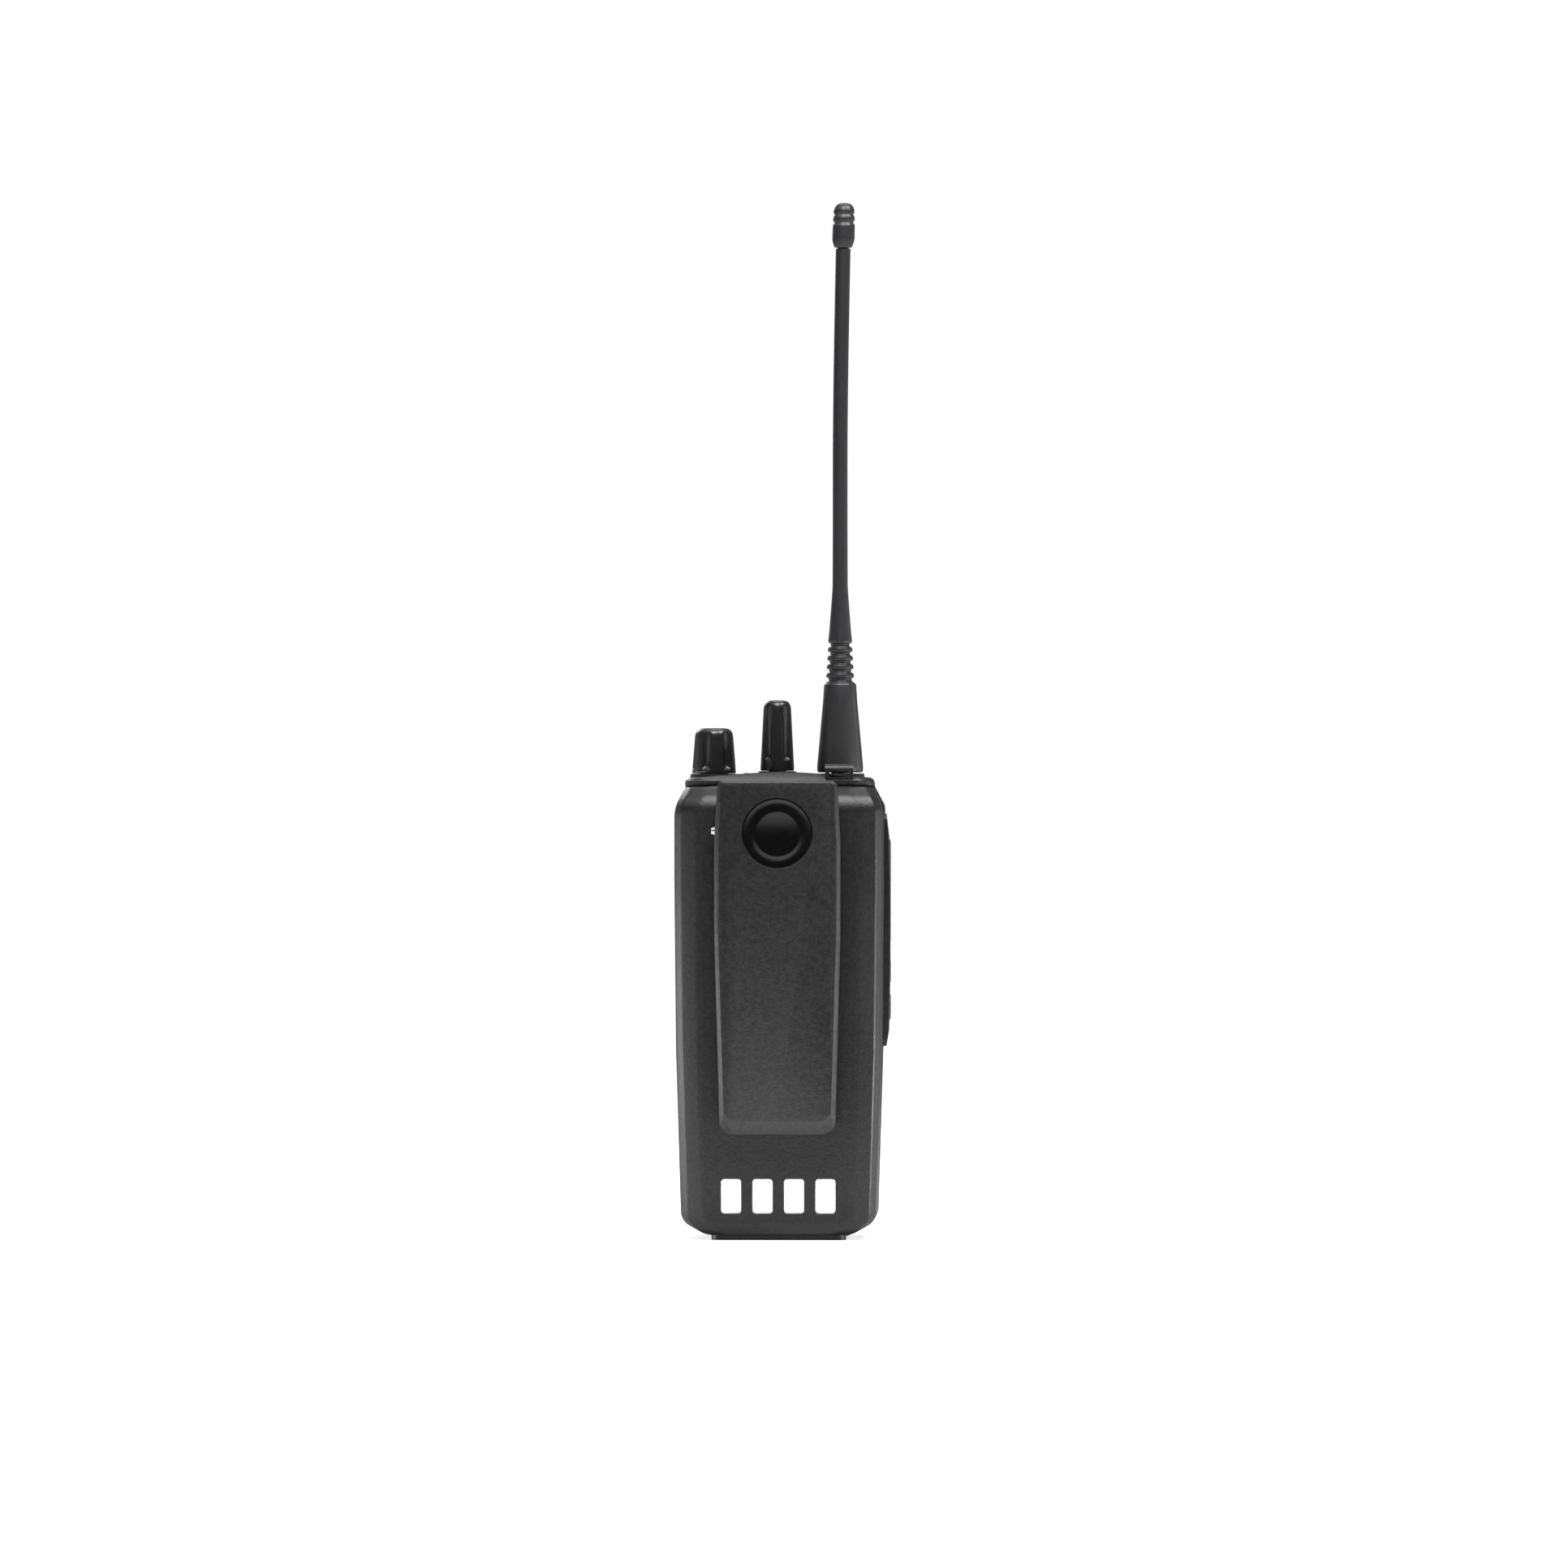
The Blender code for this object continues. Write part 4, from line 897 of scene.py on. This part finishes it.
# Matt and slightly dusty: a soft sheen at grazing angles, no sharp highlight.
dust = add_node(tree, "ShaderNodeTexNoise", {"Vector": where, "Scale": cells(0.6), "Detail": 4.0})
base = add_node(
    tree, "ShaderNodeMix",
    {"Factor": dust.outputs[0], 6: colour("#171718"), 7: colour("#222223")}, data_type="RGBA",
)
rough = add_node(
    tree, "ShaderNodeMapRange", {"Value": dust.outputs[0], "To Min": 0.55, "To Max": 0.72},
)
skin = add_node(
    tree, "ShaderNodeBump", {"Height": dust.outputs[0], "Strength": 0.4, "Distance": 0.00003},
)
shader = add_node(
    tree, "ShaderNodeBsdfPrincipled",
    {"Base Color": base.outputs[2], "Roughness": rough.outputs[0], "IOR": 1.42,
     "Sheen Weight": 0.15, "Normal": skin.outputs[0]},
)
tree.links.new(shader.outputs[0], surface)

# How far a key's outline is drawn in at each reach, and its corner radius there: a flange
# behind the bezel, a straight stem, and a domed top.
key_steps = (
    (-0.8, 2.0, -25.0), (-0.8, 2.0, -25.7), (-0.02, 1.5, -25.71), (0.0, 1.5, -28.2),
    (0.12, 1.4, -28.5), (0.4, 1.2, -28.75), (0.9, 0.9, -28.87), (1.8, 0.6, -28.9),
)
key_bodies = {
    "ptt_button": "ptt", "side_button_upper": "upper_key", "side_button_lower": "lower_key",
}
for node, (low, high) in key_rows.items():
    layers = [
        (rectangle((-13.5 + by, low + by), (-4.5 - by, high - by), radius), at_x(reach))
        for by, radius, reach in key_steps
    ]
    key = raw_piece(f"{node}_keytop", loft(layers, 6))
    middle = (low + high) / 2
    ribs, pitch = (7, 3.0) if node == "ptt_button" else (2, 2.4)
    for z in [middle + (number - (ribs - 1) / 2) * pitch for number in range(ribs)]:
        trim(key, slab(rectangle((-12.2, z - 0.45), (-5.8, z + 0.45), 0.44), at_x, -28.5, -30.0))
    finish_piece(key, key_silicone, key_bodies[node], [node], edge=0.15)

# ---------------------------------------------------------------------------
# Dust cover
# A silicone flap over the accessory socket on the other side, held by a strap at its
# lower end. A raised border and three ribs stiffen it and give the nail a hold.
# ---------------------------------------------------------------------------
def cover_face(by, radius):
    return rectangle((-13.0 + by, 72.3 + by), (-3.0 - by, 101.7 - by), radius)


layers = [
    (cover_face(0.15, 1.9), at_x(26.5)), (cover_face(0.0, 2.0), at_x(26.7)),
    (cover_face(0.0, 2.0), at_x(27.3)), (cover_face(0.12, 1.9), at_x(27.5)),
    (cover_face(0.4, 1.7), at_x(27.6)),
]
flap = raw_piece("dust_cover_flap", loft(layers, 6))
trim(flap, slab(rectangle((-12.0, 73.3), (-4.0, 97.5), 1.2), at_x, 27.3, 28.5))
for z in (98.8, 99.7, 100.6):
    trim(flap, slab(rectangle((-10.5, z - 0.22), (-5.5, z + 0.22), 0.2), at_x, 27.35, 28.5))
for z, radius in ((92.2, 0.9), (84.0, 1.4)):
    trim(flap, rod(at_x, (-8.0, z), 25.0, 26.8, radius, 32), "UNION")
finish_piece(flap, key_silicone, "cover_flap", ["dust_cover"], edge=0.12)

# ---------------------------------------------------------------------------
# Battery
# A deep shell in the casing's plastic slides up onto the chassis hooks. Its back has
# a flat middle, a bevelled facet down each side, well-rounded top corners, four
# charging windows and a foot to stand on. Cells, board and cover are inside it.
# ---------------------------------------------------------------------------
battery_plastic = spark_eroded(
    "spark-eroded black PC/ABS, battery", "#070708", "#141415", 0.40, 0.65, 0.06,
)
# Half outlines from the back and from the side, as (reach, height, corner radius).
battery_front = 1.15
battery_side = [
    (19.0, 1.2, 5), (25.5, 4.95, 4), (26.8, 50.0, 30), (27.2, 92.0, 30), (27.2, 112.9, 10),
    (24.3, 118.4, 2),
]
battery_width = silhouette(both_sides(battery_side), 10)
battery_back = silhouette(
    [
        (0, 1.2, 0), (16.4, 1.2, 1.5), (18.0, 3.6, 3), (18.0, 114.6, 6), (13.8, 118.4, 2.0),
        (0, 118.4, 0),
    ],
    10,
)


def battery_layers(wall, bottom, top, front):
    """Plan outlines of the battery's outside, or of its hollow inside a wall."""
    layers = []
    between = [z for z in heights_of(battery_width, battery_back) if bottom < z < top]
    for z in [bottom] + between + [top]:
        w, back = reach_at(battery_width, z) - wall, reach_at(battery_back, z) - wall
        facet = 1.7 * min(1.0, w / 24.0)
        plan = [
            (w, front, 0), (w, back - 4.2, 2.0), (w - facet, back - 1.5, 1.2), (w - 6.2, back, 6.0),
        ]
        layers.append((plan + [(-u, v, radius) for u, v, radius in reversed(plan)], at_z(z)))
    return layers


shell = raw_piece("battery_shell_moulding", loft(battery_layers(0.0, 1.2, 118.4, battery_front), 6))
# Hollow inside a 1.8 mm wall, with a foot below and a notch for the latch's tongue.
trim(shell, loft(battery_layers(1.8, 3.0, 116.4, -1.0), 4))
trim(shell, slab(rectangle((-17.5, 4.0), (17.5, 15.4), 2.0), at_z, 0.0, 2.2), "UNION")
trim(shell, slab(rectangle((-8.4, 0.0), (8.4, 2.5)), at_z, 0.2, 3.5))
window_x = [(number - 1.5) * 8.2 for number in range(4)]
for x in window_x:
    trim(shell, slab(rectangle((x - 2.85, 6.8), (x + 2.85, 16.2), 1.0), at_y, 15.2, 19.0))
finish_piece(
    shell, battery_plastic, "battery_pack", ["battery_shell"], edge=0.25,
)

contact_plate, tree, where, surface = blank_material("bright nickel plate")
# Pressed contacts: a white metal with a soft gloss, worn in fine streaks where pins rub.
stretched = add_node(tree, "ShaderNodeMapping", {"Vector": where, "Scale": (1.0, 1.0, 0.15)})
streaks = add_node(
    tree, "ShaderNodeTexNoise",
    {"Vector": stretched.outputs[0], "Scale": cells(0.4), "Detail": 3.0},
)
base = add_node(
    tree, "ShaderNodeMix",
    {"Factor": streaks.outputs[0], 6: colour("#FAFAF8"), 7: colour("#FFFFFF")}, data_type="RGBA",
)
rough = add_node(
    tree, "ShaderNodeMapRange", {"Value": streaks.outputs[0], "To Min": 0.42, "To Max": 0.55},
)
shader = add_node(
    tree, "ShaderNodeBsdfPrincipled",
    {"Base Color": base.outputs[2], "Metallic": 1.0, "Roughness": rough.outputs[0]},
)
tree.links.new(shader.outputs[0], surface)
for number, x in enumerate(window_x, 1):
    # A plate behind the window, its raised face in the window, and a solder tab inside.
    contact = raw_piece(
        f"charge_contact_plate_{number}",
        slab(rectangle((x - 3.4, 6.3), (x + 3.4, 16.7), 0.8), at_y, 15.1, 15.9),
    )
    trim(
        contact, slab(rectangle((x - 2.78, 6.87), (x + 2.78, 16.13), 0.95), at_y, 15.5, 16.8),
        "UNION",
    )
    trim(contact, slab(rectangle((x - 1.0, 9.5), (x + 1.0, 13.5)), at_y, 13.2, 15.5), "UNION")
    finish_piece(
        contact, contact_plate, "battery_pack", [f"charge_contact_{number}"], edge=0.18,
    )
dress(contact_plate, "antenna_stud")
dress(inner_plastic, "battery_cover")

cell_sleeve, tree, where, surface = blank_material("heat-shrink PVC sleeve")
# Thin shrunk film: mid blue, glossy, drawn into faint wrinkles.
wrinkle = add_node(
    tree, "ShaderNodeTexNoise",
    {"Vector": where, "Scale": cells(4.0), "Detail": 3.0, "Distortion": 1.0},
)
base = add_node(
    tree, "ShaderNodeMix",
    {"Factor": wrinkle.outputs[0], 6: colour("#23497A"), 7: colour("#335C92")}, data_type="RGBA",
)
film = add_node(
    tree, "ShaderNodeBump", {"Height": wrinkle.outputs[0], "Strength": 0.4, "Distance": 0.0002},
)
shader = add_node(
    tree, "ShaderNodeBsdfPrincipled",
    {"Base Color": base.outputs[2], "Roughness": 0.22, "IOR": 1.53, "Normal": film.outputs[0]},
)
tree.links.new(shader.outputs[0], surface)
dress(cell_sleeve, "battery_cell_left", "battery_cell_right")

# ---------------------------------------------------------------------------
# Belt clip
# A moulded lever on a steel pin between the ears of a bracket on the battery; a wound
# spring shuts it. Its face is flat inside a narrow bevel that widens to a lip at the
# bottom, where a toe on the inside grips the belt. A round badge sits near its top.
# ---------------------------------------------------------------------------
clip_plastic = spark_eroded(
    "spark-eroded black PC/ABS, clip", "#030304", "#161617", 0.44, 0.7, 0.09,
)
pivot_y, pivot_z = 21.8, 106.7

bracket = raw_piece(
    "clip_bracket_moulding", slab(rectangle((-12.9, 98.7), (12.9, 114.0), 1.5), at_y, 18.3, 19.2),
)
ear = [
    (18.6, pivot_z - 3.6, 0), (22.2, pivot_z - 2.2, 1), (23.8, pivot_z - 1.2, 1),
    (23.8, pivot_z + 1.2, 1), (22.2, pivot_z + 2.2, 1), (18.6, pivot_z + 3.6, 0),
]
for low, high in ((-12.9, -11.0), (11.0, 12.9)):
    trim(bracket, slab(ear, at_x, low, high), "UNION")
trim(bracket, rod(at_x, (pivot_y, pivot_z), -14.0, 14.0, 1.3))
finish_piece(
    bracket, battery_plastic, "battery_pack", ["clip_bracket"], edge=0.2,
)

pin = raw_piece("clip_pin_bar", rod(at_x, (pivot_y, pivot_z), -15.6, 16.8, 1.0))
trim(pin, rod(at_x, (pivot_y, pivot_z), 16.3, 17.3, 1.15, 48, 0.9), "UNION")
finish_piece(pin, plated_steel, "battery_pack", ["clip_pin"], edge=0.2)

lever_outer = both_sides([(15.0, 27.8, 3.6), (16.4, 80.0, 0), (16.4, 104.0, 0), (15.6, 119.8, 1.5)])
lever_edge = both_sides(
    [(14.85, 27.95, 3.5), (16.25, 80.0, 0), (16.25, 104.0, 0), (15.45, 119.65, 1.4)]
)
lever_face = both_sides(
    [(13.9, 31.2, 2.9), (15.35, 80.0, 0), (15.35, 104.0, 0), (14.75, 119.35, 1.2)]
)


def lip(full, low):
    """Across the lever's depth at full, but drawn in to low at its bottom end."""
    def place(u, v):
        rise = min(1.0, max(0.0, (v - 27.8) / 5.0))
        return (u, low + (full - low) * rise, v)
    return place


layers = [
    (lever_edge, at_y(24.5)), (lever_outer, at_y(24.7)), (lever_outer, lip(26.1, 25.1)),
    (lever_edge, lip(26.35, 25.35)), (lever_face, at_y(27.1)),
    (
        both_sides([(13.6, 31.5, 2.6), (15.05, 80.0, 0), (15.05, 104.0, 0), (14.5, 119.1, 1.0)]),
        at_y(27.2),
    ),
]
blank = loft(layers, 8)
# The face is split along the middle, and the badge's place is outlined across it.
bmesh.ops.bisect_plane(
    blank, geom=blank.verts[:] + blank.edges[:] + blank.faces[:], dist=0.0001,
    plane_co=(0, 0, 0), plane_no=(1, 0, 0),
)
lever = raw_piece("clip_lever_moulding", blank)
badge_z = pivot_z - 0.6
trim(lever, rod(at_y, (0.0, badge_z), 26.7, 28.3, 9.55, 96))
ear = [
    (24.8, pivot_z - 3.7, 0), (24.8, pivot_z + 3.7, 0), (20.4, pivot_z + 2.2, 1.2),
    (19.4, pivot_z + 0.8, 0.8), (19.4, pivot_z - 0.8, 0.8), (20.4, pivot_z - 2.2, 1.2),
]
for low, high in ((-15.1, -13.3), (13.3, 15.1)):
    trim(lever, slab(ear, at_x, low, high), "UNION")
toe = rectangle((18.6, 28.6), (24.8, 31.6), 1.2)
trim(lever, slab(toe, at_x, -11.0, 11.0), "UNION")
trim(lever, rod(at_x, (pivot_y, pivot_z), -15.8, 15.8, 1.3))
finish_piece(lever, clip_plastic, "belt_clip", ["clip_lever"], edge=0.15)

badge_gloss, tree, where, surface = blank_material("polished black acrylic")
# Cast and polished: the deepest black of the object, with a mirror-like gloss.
smear = add_node(tree, "ShaderNodeTexNoise", {"Vector": where, "Scale": cells(5.0), "Detail": 4.0})
base = add_node(
    tree, "ShaderNodeMix",
    {"Factor": smear.outputs[0], 6: colour("#060607"), 7: colour("#0B0B0C")}, data_type="RGBA",
)
rough = add_node(
    tree, "ShaderNodeMapRange", {"Value": smear.outputs[0], "To Min": 0.12, "To Max": 0.2},
)
shader = add_node(
    tree, "ShaderNodeBsdfPrincipled",
    {"Base Color": base.outputs[2], "Roughness": rough.outputs[0], "IOR": 1.49},
)
tree.links.new(shader.outputs[0], surface)
badge_profile = [
    (0, 27.23), (5.3, 27.23), (5.5, 27.28), (6.2, 27.28), (6.4, 27.215), (8.5, 27.215),
    (8.7, 27.28), (8.85, 27.3), (9.1, 27.3), (9.25, 27.26), (9.25, 26.8), (0, 26.8),
]
disc = turned(badge_profile, (0.0, 0.0), 96)
for vert in disc.verts:
    x, y, z = vert.co
    vert.co = (x, z, badge_z + y)
disc.normal_update()
bmesh.ops.recalc_face_normals(disc, faces=disc.faces)
badge = raw_piece("clip_badge_disc", disc)
finish_piece(
    badge, badge_gloss, "belt_clip", ["clip_badge"], edge=0, angle=20,
)
